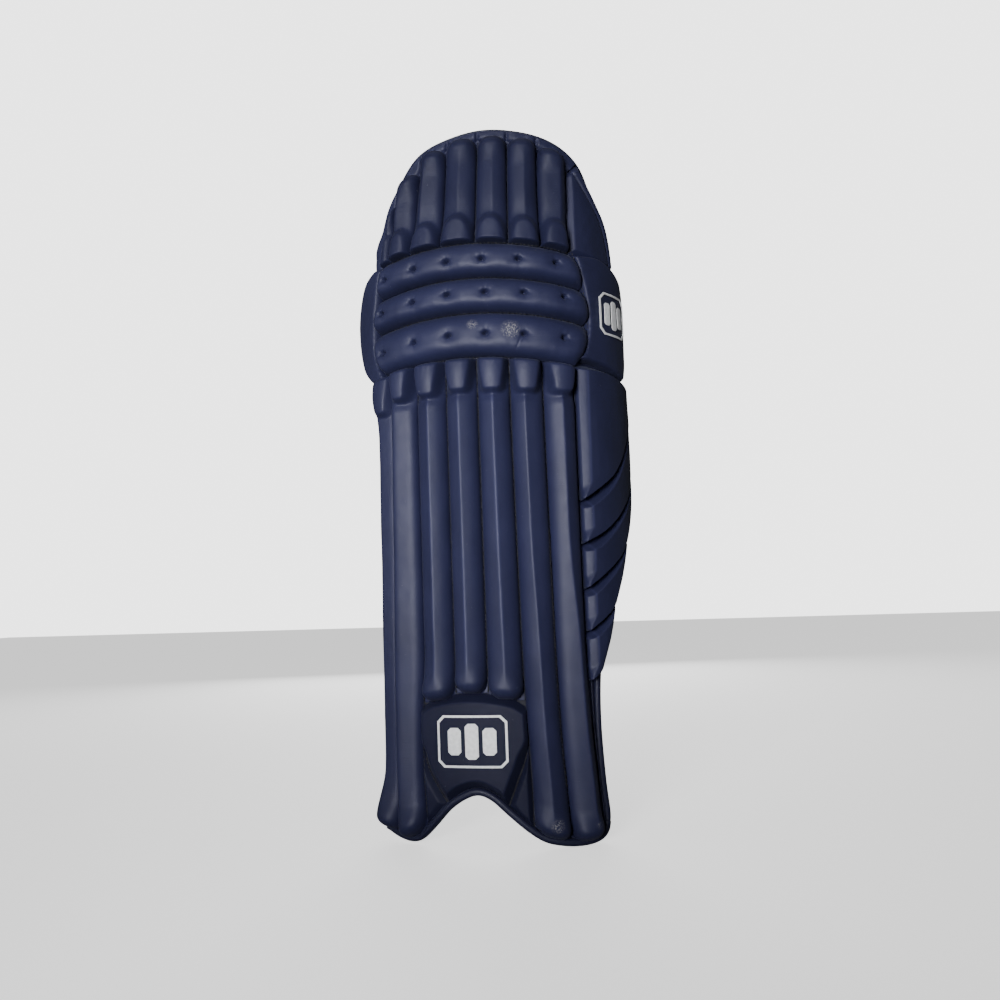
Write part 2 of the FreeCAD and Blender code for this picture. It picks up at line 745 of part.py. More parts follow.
def calf_straps():
    """The two calf straps with their keepers, rings and patches."""
    width = "sizes.strap_width"
    half = size("strap_width") / 2
    edge = size("backing_thickness") + size("skin_gap")
    levels = {"upper": size("strap_upper_level") - half, "lower": size("strap_lower_level") - half}
    for name, level in levels.items():
        strap_band(f"calf_strap_{name}", width, level, edge)
        strap_tail(f"calf_strap_tail_{name}", width, level)
    group("calf_strap_keepers", [keeper(f"keeper_{name}", width, low, edge) for name, low in levels.items()])
    group("calf_strap_rings", [ring(f"ring_{name}", width, low) for name, low in levels.items()])
    group("calf_loop_patches", [loop_patch(f"patch_{name}", width, low) for name, low in levels.items()])


def knee_strap():
    """The narrower strap behind the knee."""
    width = "sizes.knee_strap_width"
    level = size("knee_strap_level") - size("knee_strap_width") / 2
    edge = size("knee_backing_thickness") + size("skin_gap")
    strap_band("knee_strap", width, level, edge)
    strap_tail("knee_strap_tail", width, level)
    placement = pad_placement(strap_centre())
    keep(keeper("knee_strap_keeper", width, level, edge), "knee_strap_keeper", placement)
    keep(ring("knee_strap_ring", width, level), "knee_strap_ring", placement)
    keep(loop_patch("knee_loop_patch", width, level), "knee_loop_patch", placement)


# ---------------------------------------------------------------- build, check and write

shin_backing()
for bar_number in range(1, 8):
    shin_bar(bar_number)
shin_canes()
shin_lining()
instep_pieces()
hem_piping()
side_gusset()
edge_piping()
for segment_number in range(1, 6):
    wing_segment(segment_number)
wing_backing()
for knee_section in KNEE_PARTS:
    knee_part(*knee_section)
knee_wings()
for bar_number in range(1, 8):
    thigh_bar(bar_number)
thigh_skins()
calf_straps()
knee_strap()
doc.recompute()

for item in doc.Objects:
    if "Invalid" in item.State or "Error" in item.State:
        raise RuntimeError(f"{item.Label} failed: {item.State}")
for piece in PIECES:
    if piece.Shape.isNull() or not piece.Shape.isValid():
        raise RuntimeError(f"{piece.Label} has no valid shape")

os.makedirs("parts", exist_ok=True)
for piece in PIECES:
    piece.Shape.exportStep(f"parts/{piece.Label}.step")
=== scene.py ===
import math

import bpy
import numpy as np
from mathutils import Matrix, Vector


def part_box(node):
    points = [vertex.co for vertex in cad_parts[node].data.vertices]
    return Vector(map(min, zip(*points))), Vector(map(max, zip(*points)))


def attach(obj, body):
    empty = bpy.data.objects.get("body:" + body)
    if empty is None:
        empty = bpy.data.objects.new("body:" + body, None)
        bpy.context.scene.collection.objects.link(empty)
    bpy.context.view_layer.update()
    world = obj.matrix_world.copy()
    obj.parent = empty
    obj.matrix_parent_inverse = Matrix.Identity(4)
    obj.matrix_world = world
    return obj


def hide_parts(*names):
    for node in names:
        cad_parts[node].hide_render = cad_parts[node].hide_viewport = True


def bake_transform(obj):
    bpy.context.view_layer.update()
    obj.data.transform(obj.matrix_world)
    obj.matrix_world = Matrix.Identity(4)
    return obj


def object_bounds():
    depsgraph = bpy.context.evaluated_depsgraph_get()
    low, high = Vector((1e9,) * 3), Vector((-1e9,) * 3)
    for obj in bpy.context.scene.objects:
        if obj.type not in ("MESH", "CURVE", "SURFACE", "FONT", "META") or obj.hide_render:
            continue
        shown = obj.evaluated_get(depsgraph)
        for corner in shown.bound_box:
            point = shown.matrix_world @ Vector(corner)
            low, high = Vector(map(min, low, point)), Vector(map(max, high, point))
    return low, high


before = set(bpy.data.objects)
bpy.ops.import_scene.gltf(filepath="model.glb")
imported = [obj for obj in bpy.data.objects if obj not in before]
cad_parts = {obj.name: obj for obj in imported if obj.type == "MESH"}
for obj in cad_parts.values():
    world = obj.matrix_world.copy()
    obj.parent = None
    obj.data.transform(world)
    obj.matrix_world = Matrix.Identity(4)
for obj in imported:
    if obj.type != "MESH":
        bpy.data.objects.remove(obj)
cad_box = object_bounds()

# A point on the pad is given by three lengths in millimetres: its place around the outer surface
# (0 at the middle bar, + towards the outer side), its level above the hem and its height above the
# surface in which the seams between the bars lie.

FRONT_RADIUS = 240.0
FLANK_RADIUS = 110.0
FLANK_START = 75.0
WING_RADIUS = 117.0
WING_ROOT = 122.5
BAR_SEAMS = [
    [(0, -111.5), (150, -110.2), (300, -108.8), (449, -107.6), (466, -111), (520, -111)],
    [(0, -87.5), (180, -87), (290, -84.5), (420, -82), (520, -81.5)],
    [(0, -55.5), (30, -56), (62, -58.5), (110, -57.8), (158, -55.8), (188, -53), (520, -52.2)],
    [(0, -17.5), (520, -17.5)],
    [(0, 17.8), (520, 17.5)],
    [(0, 61), (60, 60.3), (100, 58.6), (140, 56.2), (200, 55), (290, 54), (440, 52.5), (520, 52.5)],
    [(0, 99), (20, 98.5), (60, 96), (100, 93), (140, 91.5), (200, 90), (290, 89), (440, 87.7), (520, 87.5)],
    [(0, 133.5), (20, 133), (60, 131), (100, 127.5), (140, 125), (200, 123), (290, 122.5), (520, 122.5)],
]
DROOP_RADIUS = 530.0
SEAM_LEVELS = {"low": 516.0, "lower_roll": 565.0, "upper_roll": 604.0, "high": 643.0}
BARS_TOP = 520
BADGE_TOP = 152.5

SEAM_GAP = 0.3
BASE = 0.05
SHIN_RIDGE = 17.6
SHIN_EDGE = 11.0
KNUCKLE_HEIGHT = 24.0
KNUCKLE_CORNER = 7
ROLL_HEIGHT = 21.5
SHIELD_HEIGHT = 12.0
WING_HEIGHT = 18.8
OUTER_FLAP_ROOT = ([141, 156], 560, 8)

PLAN_X = 500 * (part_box("shin_lining_centre")[0].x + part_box("shin_lining_centre")[1].x)
PLAN_Y = 1000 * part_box("shin_backing")[0].y + FRONT_RADIUS
LIFT = 1000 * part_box("instep_badge_panel")[1].z - BADGE_TOP


# ---------------------------------------------------------------- small maths

def step(low, high, value):
    """0 below low, 1 above high (or the other way round), smooth between."""
    t = np.clip((value - low) / (high - low), 0, 1)
    return t * t * (3 - 2 * t)


def dome(distance, reach, power=2.0):
    """Height share of a rounded edge: 0 on the edge, 1 from reach inwards."""
    t = np.clip(1 - distance / reach, 0, 1)
    return np.sqrt(np.clip(1 - t ** power, 0, 1))


def lattice(ix, iy, seed):
    """A repeatable number from 0 to 1 for each whole-number pair."""
    value = np.sin(ix * 127.1 + iy * 311.7 + seed * 74.7) * 43758.5453
    return value - np.floor(value)


def noise(x, y, seed=0):
    """Smooth noise from -1 to 1 with cells one unit wide."""
    x, y = np.broadcast_arrays(np.asarray(x, float), np.asarray(y, float))
    ix, iy = np.floor(x), np.floor(y)
    fx, fy = x - ix, y - iy
    fx, fy = fx * fx * (3 - 2 * fx), fy * fy * (3 - 2 * fy)
    low = lattice(ix, iy, seed) * (1 - fx) + lattice(ix + 1, iy, seed) * fx
    high = lattice(ix, iy + 1, seed) * (1 - fx) + lattice(ix + 1, iy + 1, seed) * fx
    return 2 * (low * (1 - fy) + high * fy) - 1


def clustered(count, strength=0.85):
    """Numbers from -1 to 1 that lie closer together near both ends."""
    t = np.linspace(-1, 1, count)
    return (1 - strength) * t + strength * (1.5 * t - 0.5 * t ** 3)


def travelled(points):
    """Distance along a path at each of its points."""
    return np.concatenate([[0], np.cumsum(np.linalg.norm(np.diff(points, axis=0), axis=1))])


def read_at(stops, along_path, points):
    """Points of a path at given distances along it."""
    return np.stack([np.interp(stops, along_path, column) for column in points.T], -1)


def unit(vectors):
    """Rows scaled to length 1."""
    return vectors / np.linalg.norm(vectors, axis=1)[:, None]


def curve_through(points, count):
    """Smooth open curve through given points, as evenly spaced rows."""
    points = np.array(points, float)
    ends = np.vstack([2 * points[0] - points[1], points, 2 * points[-1] - points[-2]])
    fine = []
    for a, b, c, d in zip(ends, ends[1:], ends[2:], ends[3:]):
        t = np.linspace(0, 1, 24, endpoint=False)[:, None]
        fine.append(0.5 * (2 * b + (c - a) * t + (2 * a - 5 * b + 4 * c - d) * t ** 2
                           + (3 * b - a - 3 * c + d) * t ** 3))
    fine = np.vstack(fine + [points[-1:]])
    distance = travelled(fine)
    return read_at(np.linspace(0, distance[-1], count), distance, fine)


def curve_at(points, share):
    """Points of a smooth curve at given shares of its length."""
    count = 400
    return read_at(np.asarray(share, float) * (count - 1), np.arange(count), curve_through(points, count))


def patch(bottom, top, left, right, cols, rows, cluster=0.6):
    """A four-sided area between curves that run left to right and bottom to top.

    Gives the place and level of each grid point and its distances from the four edges.
    """
    u = (clustered(cols, cluster) + 1) / 2
    v = (clustered(rows, cluster) + 1) / 2
    low, high = curve_at(bottom, u)[None], curve_at(top, u)[None]
    start, end = curve_at(left, v)[:, None], curve_at(right, v)[:, None]
    u, v = u[None, :, None], v[:, None, None]
    corners = ((1 - u) * (1 - v) * low[:, :1] + u * (1 - v) * low[:, -1:]
               + (1 - u) * v * high[:, :1] + u * v * high[:, -1:])
    grid = (1 - v) * low + v * high + (1 - u) * start + u * end - corners
    across = np.linalg.norm(np.diff(grid, axis=1), axis=2)
    upward = np.linalg.norm(np.diff(grid, axis=0), axis=2)
    from_left = np.pad(np.cumsum(across, 1), ((0, 0), (1, 0)))
    from_bottom = np.pad(np.cumsum(upward, 0), ((1, 0), (0, 0)))
    edges = {
        "left": from_left,
        "right": from_left[:, -1:] - from_left,
        "bottom": from_bottom,
        "top": from_bottom[-1:] - from_bottom,
    }
    return grid[..., 0], grid[..., 1], edges


def between(bottom, top):
    """The four edges of an area with straight sides, for patch."""
    return bottom, top, [bottom[0], top[0]], [bottom[-1], top[-1]]


def lowest(sharp, *values):
    """The smallest of several values with the corners between them rounded off."""
    total = sum(np.exp(-sharp * (value - values[0])) for value in values)
    return values[0] - np.log(total) / sharp


def filled(height, depth):
    """0 where the padding is flat, 1 where it is at least depth high."""
    return np.clip(height / depth, 0, 1)


def crowned(x, power, roundness=0.5):
    """Height share of a stuffed section: 1 at its middle, where x is 0, and 0 at its edges, -1 and 1."""
    return np.clip(1 - np.abs(x) ** power, 0, 1) ** roundness


# ---------------------------------------------------------------- the pad's surface

def heading(place, wing=False):
    """Angle of the surface around the leg, 0 where it faces -Y."""
    place = np.asarray(place, float)
    turn = FLANK_START / FRONT_RADIUS
    flank = np.sign(place) * (turn + (np.abs(place) - FLANK_START) / FLANK_RADIUS)
    angle = np.where(np.abs(place) <= FLANK_START, place / FRONT_RADIUS, flank)
    if wing:
        root = turn + (WING_ROOT - FLANK_START) / FLANK_RADIUS
        angle = np.where(place > WING_ROOT, root + (place - WING_ROOT) / WING_RADIUS, angle)
    return angle


def surface(place, level, height, wing=False):
    """Points of the pad in the row frame, in millimetres."""
    place, level, height = np.broadcast_arrays(*[np.asarray(v, float) for v in (place, level, height)])
    angle = heading(place, wing)
    side = np.sign(place)
    turn = FLANK_START / FRONT_RADIUS
    offset = FRONT_RADIUS - FLANK_RADIUS
    front = np.abs(place) <= FLANK_START
    cx = np.where(front, 0, side * offset * math.sin(turn))
    cy = np.where(front, 0, -offset * math.cos(turn))
    radius = np.where(front, FRONT_RADIUS, FLANK_RADIUS)
    if wing:
        root = turn + (WING_ROOT - FLANK_START) / FLANK_RADIUS
        beyond = place > WING_ROOT
        cx = np.where(beyond, offset * math.sin(turn) + (FLANK_RADIUS - WING_RADIUS) * math.sin(root), cx)
        cy = np.where(beyond, -offset * math.cos(turn) - (FLANK_RADIUS - WING_RADIUS) * math.cos(root), cy)
        radius = np.where(beyond, WING_RADIUS, radius)
    x = cx + (radius + height) * np.sin(angle)
    y = cy - (radius + height) * np.cos(angle)
    return np.stack([x + PLAN_X, y + PLAN_Y, level + LIFT], -1)


def seam_level(name, place):
    """Level of a cross seam, which droops towards the pad's sides."""
    x = surface(place, 0, 0)[..., 0] - PLAN_X
    return SEAM_LEVELS[name] - DROOP_RADIUS + np.sqrt(DROOP_RADIUS ** 2 - x ** 2)


def along_seam(name, first, last, count, shift):
    """Points of a cross seam between two places, moved up by a shift."""
    places = np.linspace(first, last, count)
    return list(zip(places, seam_level(name, places) + shift))


# ---------------------------------------------------------------- meshes

def new_mesh(name, points, faces, smooth=True):
    """An object from points in millimetres."""
    mesh = bpy.data.meshes.new(name)
    mesh.from_pydata((np.asarray(points) / 1000).tolist(), [], faces)
    mesh.polygons.foreach_set("use_smooth", [smooth] * len(mesh.polygons))
    mesh.update()
    piece = bpy.data.objects.new(name, mesh)
    bpy.context.collection.objects.link(piece)
    return piece


def grid_faces(rows, cols, first=0, flip=False, wrap=False):
    """Quads of a grid whose points are numbered row by row."""
    index = first + np.arange(rows * cols).reshape(rows, cols)
    if wrap:
        index = np.hstack([index, index[:, :1]])
    quads = np.stack([index[:-1, :-1], index[:-1, 1:], index[1:, 1:], index[1:, :-1]], -1).reshape(-1, 4)
    if flip:
        quads = quads[:, ::-1]
    return quads.tolist()


def tube_faces(rows, sides, flip=True):
    """Faces of a closed tube whose points are numbered ring by ring."""
    first, last = list(range(sides)), list(range((rows - 1) * sides, rows * sides))
    caps = [first, last[::-1]] if flip else [first[::-1], last]
    return grid_faces(rows, sides, flip=flip, wrap=True) + caps


def closed_sheet(name, front, back, highlight_and_wear=None):
    """A closed form from a front grid and a back grid of the same size."""
    rows, cols = front.shape[:2]
    count = rows * cols
    faces = grid_faces(rows, cols) + grid_faces(rows, cols, count, flip=True)
    index = np.arange(count).reshape(rows, cols)
    rim = np.concatenate([index[0], index[1:, -1], index[-1, -2::-1], index[-2:0:-1, 0]])
    after = np.roll(rim, -1)
    faces += np.stack([after, rim, rim + count, after + count], -1).tolist()
    piece = new_mesh(name, np.vstack([front.reshape(-1, 3), back.reshape(-1, 3)]), faces)
    # Optional per-point attribute, 0 on the back, that lightens the leather colour: a painted highlight
    # along crests, partly real rubbing.
    if highlight_and_wear is not None:
        layer = piece.data.attributes.new("highlight_and_wear", "FLOAT", "POINT")
        values = np.concatenate([np.broadcast_to(highlight_and_wear, front.shape[:2]).ravel(), np.zeros(count)])
        layer.data.foreach_set("value", values.astype(np.float32))
    return piece


def cover(name, place, level, front, back, highlight_and_wear=None, wing=False):
    """A closed sheet between two heights over the pad's surface."""
    return closed_sheet(name, surface(place, level, front, wing), surface(place, level, back, wing), highlight_and_wear)


def rings(tangent, reference, sides):
    """Unit circles square to each direction of a path."""
    normal = unit(np.cross(tangent, reference))
    other = np.cross(tangent, normal)
    angle = np.arange(sides) * 2 * math.pi / sides
    return normal[:, None] * np.cos(angle)[None, :, None] + other[:, None] * np.sin(angle)[None, :, None]


def tube(path, radius, sides=12):
    """A round tube along a path of points, with closed ends: its vertices and faces."""
    tangent = unit(np.gradient(path, axis=0))
    points = path[:, None] + rings(tangent, [0.13, 0.21, 0.97], sides) * radius
    return points.reshape(-1, 3), tube_faces(len(path), sides)


def merged(forms):
    """Several forms, each given as vertices and faces, as one."""
    points, faces, first = [], [], 0
    for some, quads in forms:
        points.append(some)
        faces += [[first + i for i in face] for face in quads]
        first += len(some)
    return np.vstack(points), faces


def blend_across(piece, first, second, places, level, height, wing=False):
    """Bake a piece's transform into its mesh."""
    start, end = surface(places, level, height, wing) / 1000
    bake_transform(piece)


def finish_piece(piece, body, material, nodes=()):
    """Give a finished piece its material, attach it to its body and hide the CAD nodes it replaces."""
    piece.data.materials.clear()
    piece.data.materials.append(material)
    if body:
        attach(piece, body)
    if nodes:
        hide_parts(*nodes)
    return piece


# ---------------------------------------------------------------- materials

def shade(colour, gain, lift=0.0):
    """A lighter or darker tone of a colour."""
    return tuple(min(1, c * gain + lift) for c in colour)


def set_inputs(tree, node, inputs):
    """Give each named input its constant, or link it when the value is another node's output."""
    for name, value in inputs.items():
        socket = node.inputs[name]
        if isinstance(value, bpy.types.NodeSocket):
            tree.links.new(value, socket)
        elif socket.type == "RGBA":
            socket.default_value = (*value, 1)
        else:
            socket.default_value = value


def new_node(tree, kind, inputs, **settings):
    """A shader node with its settings and inputs."""
    node = tree.nodes.new("ShaderNode" + kind)
    for name, value in settings.items():
        setattr(node, name, value)
    set_inputs(tree, node, inputs)
    return node


def node_material(name):
    """An empty node material: itself, its tree, its shader and its coordinates in millimetres."""
    material = bpy.data.materials.new(name)
    material.use_nodes = True
    tree = material.node_tree
    metres = new_node(tree, "TexCoord", {}).outputs["Object"]
    scale = new_node(tree, "VectorMath", {0: metres, "Scale": 1000}, operation="SCALE")
    return material, tree, tree.nodes["Principled BSDF"], scale.outputs[0]


def noise_node(tree, vector, scale, detail=3.0, roughness=0.5):
    """Noise with a given number of cells per millimetre."""
    inputs = {"Vector": vector, "Scale": scale, "Detail": detail, "Roughness": roughness}
    return new_node(tree, "TexNoise", inputs).outputs["Fac"]


def remap(tree, value, low, high, out_low=0.0, out_high=1.0):
    """A range of values stretched to another range."""
    inputs = {"Value": value, "From Min": low, "From Max": high, "To Min": out_low, "To Max": out_high}
    return new_node(tree, "MapRange", inputs).outputs["Result"]


def multiply(tree, first, second):
    """Product of two inputs, each a socket or a number."""
    return new_node(tree, "Math", {0: first, 1: second}, operation="MULTIPLY").outputs[0]


def mix_colour(tree, factor, first, second):
    """Colour mix of two inputs, each a socket or a colour."""
    inputs = {"Factor": factor, "A": first, "B": second}
    return new_node(tree, "Mix", inputs, data_type="RGBA").outputs["Result"]


def cloudy(tree, place, scale, detail, first, second):
    """Two colours mixed in soft clouds."""
    cloud = noise_node(tree, place, scale, detail)
    return mix_colour(tree, remap(tree, cloud, 0.3, 0.7), first, second)


def bump(tree, height, distance, strength, previous=None):
    """Bump of a height in millimetres, on top of an earlier one."""
    inputs = {"Height": height, "Distance": distance / 1000, "Strength": strength}
    if previous is not None:
        inputs["Normal"] = previous
    return new_node(tree, "Bump", inputs).outputs["Normal"]


def leather_colour(tree, place, colour, scuffs):
    """Cloudy navy with dust specks and pale scuffs, lightened along crests and crisp edges: a painted
    highlight, partly real rubbing of the stretched leather.
    """
    tint = cloudy(tree, place, 0.02, 3, shade(colour, 0.90), shade(colour, 1.10, 0.0008))
    speck = remap(tree, noise_node(tree, place, 0.9, 1), 0.815, 0.85, 0, 0.55)
    tint = mix_colour(tree, speck, tint, (0.42, 0.43, 0.47))
    for centre, reach, angle in scuffs:
        tint = mix_colour(tree, scuff_mask(tree, place, centre, reach, angle), tint, (0.40, 0.39, 0.38))
    # Painted highlight: the colour turns lighter along ridges and crisp edges where the per-point attribute
    # is high; partly real rubbing.
    highlight_and_rub = new_node(tree, "Attribute", {}, attribute_name="highlight_and_wear").outputs["Fac"]
    return mix_colour(tree, multiply(tree, highlight_and_rub, 0.55), tint, shade(colour, 2.6, 0.01))


def leather_relief(tree, place):
    """Grain cells, pores, slow swells and patches of flat creases."""
    inputs = {"Vector": place, "Scale": 0.85}
    grain = new_node(tree, "TexVoronoi", inputs, feature="DISTANCE_TO_EDGE").outputs["Distance"]
    normal = bump(tree, remap(tree, grain, 0, 0.18), 0.10, 0.35)
    normal = bump(tree, noise_node(tree, place, 2.6, 2), 0.07, 0.35, normal)
    normal = bump(tree, noise_node(tree, place, 0.12, 3), 0.5, 0.14, normal)
    flat = new_node(tree, "Mapping", {"Vector": place, "Scale": (0.06, 0.06, 1.0)}).outputs[0]
    patchy = remap(tree, noise_node(tree, place, 0.014, 1), 0.50, 0.62)
    lines = multiply(tree, noise_node(tree, flat, 0.75, 3, 0.6), patchy)
    return bump(tree, lines, 0.35, 0.5, normal)


def leather(name, colour, roughness, scuffs=(), shine=0.28):
    """Navy synthetic leather with fine grain."""
    material, tree, shader, place = node_material(name)
    rub = noise_node(tree, place, 0.09, 4, 0.6)
    set_inputs(tree, shader, {
        "Base Color": leather_colour(tree, place, colour, scuffs),
        "Roughness": remap(tree, rub, 0.3, 0.7, roughness - 0.03, roughness + 0.04),
        "Specular IOR Level": shine,
        "Specular Tint": (0.92, 0.93, 1.0),
        "Sheen Weight": 0.03,
        "Sheen Roughness": 0.45,
        "Sheen Tint": (0.55, 0.60, 0.85),
        "Normal": leather_relief(tree, place),
    })
    return material


def scuff_mask(tree, place, centre, reach, angle):
    """Streaky mask around a point: 1 where the surface is scuffed pale."""
    shift = new_node(tree, "VectorMath", {0: place, 1: centre}, operation="SUBTRACT").outputs[0]
    far = new_node(tree, "VectorMath", {0: shift}, operation="LENGTH").outputs["Value"]
    near = remap(tree, far, reach, reach * 0.2)
    inputs = {"Vector": shift, "Rotation": (0, angle, 0), "Scale": (1.5, 1.5, 0.5)}
    streak = noise_node(tree, new_node(tree, "Mapping", inputs).outputs[0], 1.1, 4, 0.7)
    return multiply(tree, near, remap(tree, streak, 0.52, 0.64))


def cloth(name, colour, pitch, roughness=0.85):
    """Woven or brushed cloth with a visible thread pitch in millimetres."""
    material, tree, shader, place = node_material(name)
    inputs = {"Vector": place, "Scale": 0.31 / pitch, "Distortion": 0.6, "Detail": 1}
    upright, level = [new_node(tree, "TexWave", inputs, bands_direction=direction).outputs["Fac"]
                      for direction in ("X", "Z")]
    normal = bump(tree, multiply(tree, upright, level), 0.25, 0.6)
    set_inputs(tree, shader, {
        "Base Color": cloudy(tree, place, 0.03, 3, colour, shade(colour, 1.35)),
        "Roughness": roughness,
        "Sheen Weight": 0.25,
        "Sheen Roughness": 0.5,
        "Normal": bump(tree, noise_node(tree, place, 1.6, 3), 0.15, 0.5, normal),
    })
    return material


def plain(name, colour, roughness, grain=0.3):
    """Moulded plastic, print or thread: even colour with slight mottling."""
    material, tree, shader, place = node_material(name)
    rub = noise_node(tree, place, 0.8, 3)
    set_inputs(tree, shader, {
        "Base Color": cloudy(tree, place, 0.25, 4, shade(colour, 0.86), shade(colour, 1.12)),
        "Roughness": remap(tree, rub, 0.3, 0.7, roughness - 0.05, roughness + 0.08),
        "Normal": bump(tree, noise_node(tree, place, 1.8, 3), 0.06, grain),
    })
    return material


SCUFFS = [(surface(56, 541, 20), 12, 0.6), (surface(18, 549, 20), 7, 2.2), (surface(82, 22, 17), 9, 0.3),
          (surface(120, 18, 17), 6, 1.2)]
NAVY = (0.0105, 0.0118, 0.0375)
FACE = leather("navy_face", NAVY, 0.53, scuffs=SCUFFS)
SIDE = leather("navy_side", shade(NAVY, 0.95), 0.54)
# Painted shade: the thigh's copy of the navy leather is darker and less shiny, as the thigh gets less light
# than the shin.
THIGH_SHADED_FACE = leather("navy_thigh_shaded", shade(NAVY, 0.82), 0.55, shine=0.20)
BADGE_FACE = leather("navy_badge", shade(NAVY, 0.50), 0.58, shine=0.15)
BINDING = leather("navy_binding", shade(NAVY, 0.62), 0.50)
LINING = cloth("brushed_lining", (0.016, 0.018, 0.036), 1.1)
WEBBING = cloth("webbing", (0.012, 0.013, 0.026), 1.6, 0.7)
TAPE = cloth("hook_and_loop", (0.006, 0.006, 0.009), 0.7, 0.95)
THREAD = plain("thread", (0.0035, 0.0038, 0.0075), 0.7)
SILVER = plain("silver_print", (0.62, 0.63, 0.65), 0.42, 0.5)
MOULDED = plain("black_moulding", (0.010, 0.010, 0.011), 0.3)
BOARD_COVER = cloth("board_cover", (0.006, 0.0065, 0.013), 1.3, 0.9)
CANE = plain("cane", (0.42, 0.28, 0.12), 0.55)


# ---------------------------------------------------------------- shin bars

def wander(place, level, seed=0):
    """Slow unevenness of stuffed leather, in millimetres."""
    slow = 0.35 * noise(place / 21, level / 34, seed)
    return slow + 0.12 * noise(place / 7, level / 11, seed + 5)


def gathers(across, depth, seed, amount=0.45, pitch=3.2, reach=7.0):
    """Small pull wrinkles that run square to a seam and fade away from it."""
    folds = noise(across / pitch, depth / 14, seed)
    folds = folds + 0.5 * noise(across / (pitch * 0.55), depth / 9, seed + 3)
    return amount * folds * np.exp(-np.abs(depth) / reach)


def bar_seam(number, level):
    """Place of a seam between the shin bars at a level, with its corners smoothed."""
    levels, places = zip(*BAR_SEAMS[number])
    return sum(np.interp(level + shift, levels, places) for shift in (-16, -8, 0, 8, 16)) / 5


def stuffed(height, place, level, seed, depth, gain=1.0):
    """A smooth height with the unevenness of stuffed leather where it is high enough."""
    return height + gain * wander(place, level, seed) * filled(height, depth)


def off_ridge(x, peak, rounding):
    """Share of the way from a ridge at peak to the nearer edge, rounded off at the ridge."""
    aside = (x - peak) / (1 - peak * np.sign(x - peak))
    return np.sqrt(aside ** 2 + rounding)


def end_bulb(x, depth, reach, power):
    """Section of a bar's stuffed end, which narrows over its last stretch."""
    narrow = 0.3 + 0.7 * dome(depth, reach)
    return crowned(np.clip(np.abs(x) / narrow, 0, 1), power)


def shin_bar_heights(x, width, depth_low, depth_top, level, knuckle_low, swollen, peak):
    """Height of a shin bar over its base.

    x runs from -1 to 1 across the bar, depth_low and depth_top are the distances from its ends and
    peak is the place of the gable's ridge.
    """
    near_knuckle = step(knuckle_low - 12, knuckle_low + 2, level)
    ridge = SHIN_RIDGE - 3.0 * near_knuckle
    edge = SHIN_EDGE - 3.2 * near_knuckle
    soft = off_ridge(x, peak, 0.0007) - 0.026
    flat = (edge + (ridge + 0.8 - edge) * (1 - 1.25 * soft)) * crowned(x, 4.6)
    swell = step(52, 16, depth_low) * swollen
    bulb = (17.5 + 4.4 * swell) * end_bulb(x, depth_low, 17, 2.7)
    blend = step(36, 12, depth_low)
    body = flat * (1 - blend) + bulb * blend + 1.8 * swell * (1 - blend) * (1 - x * x)
    body = body * dome(depth_low, 14)
    side = np.abs(x) * width / 2
    half = width / 2 * (0.66 + 0.24 * step(knuckle_low, knuckle_low + 34, level))
    corner_x = np.maximum(side - half + KNUCKLE_CORNER, 0)
    corner_z = np.maximum(knuckle_low + KNUCKLE_CORNER - level, 0)
    outside = np.hypot(corner_x, corner_z) - KNUCKLE_CORNER
    knuckle = step(3.6, -4.0, outside) * crowned(x, 5)
    face = KNUCKLE_HEIGHT - 0.024 * side ** 2 - 0.0065 * (level - knuckle_low - 20) ** 2
    body = body * (1 - knuckle) + face * knuckle
    return body * dome(depth_top, 7, 2.4)


def shin_bars():
    """Seven upright bars with gable facets, knuckles at the top and stuffed ends."""
    lows = [10.6, 5.0, 148.5, 156.5, 149.5, 6.5, 0.5]
    tilts = [-2.0, 6.0, 2.0, 0, -1.5, -6.5, 0.5]
    knuckles = [463, 474, 475, 477, 475.5, 473, 471]
    peaks = [(-0.6, -0.6), (-0.84, -0.84), (0.1, 0.1), (0, 0), (0, 0.05), (-0.16, 0), (-0.08, 0.28)]
    fine = np.concatenate([np.linspace(0, 0.10, 34)[:-1], np.linspace(0.10, 0.86, 150)[:-1],
                           np.linspace(0.86, 1, 64)])[:, None]
    x = clustered(45, 0.55)[None, :]
    for number in range(7):
        rough = bar_seam(number, BARS_TOP) * (1 - x) / 2 + bar_seam(number + 1, BARS_TOP) * (1 + x) / 2
        top = seam_level("low", rough) - 0.4
        low = lows[number] + tilts[number] * x
        level = low + (top - low) * fine
        left, right = bar_seam(number, level), bar_seam(number + 1, level)
        width = right - left
        place = left + SEAM_GAP + (x + 1) / 2 * (width - 2 * SEAM_GAP)
        if number == 0:
            place = place - 7.5 * step(78, 22, level) * (1 - x) / 2
        swollen = 1.0 if number in (0, 1, 5, 6) else 0.75
        peak = peaks[number][0] + (peaks[number][1] - peaks[number][0]) * step(330, 190, level)
        height = shin_bar_heights(x, width, level - low, top - level, level, knuckles[number], swollen, peak)
        if number == 0:
            height = height * (0.58 + 0.42 * step(78, 22, level) + 0.16 * step(450, 466, level))
        height = stuffed(height, place, level, number, 8)
        height = height + gathers(place, top - level, number, 0.6) * filled(height, 6)
        # Painted highlight along each gable's ridge, strong on the three middle bars and faint on the
        # others; partly real rubbing.
        crest = np.exp(-((x - peak) / 0.09) ** 2) * step(knuckles[number], knuckles[number] - 8, level)
        shown = 0.6 if 1 < number < 5 else 0.15
        highlight_and_wear = shown * crest * step(10, 40, level - low) * (0.75 + 0.5 * noise(place / 4, level / 40, 9))
        piece = cover(f"shin_bar_{number + 1}_cover", place, level, np.maximum(height, 0.1), 0.0, highlight_and_wear)
        finish_piece(piece, "shin", FACE, [f"shin_bar_{number + 1}"])


# ---------------------------------------------------------------- knee rolls

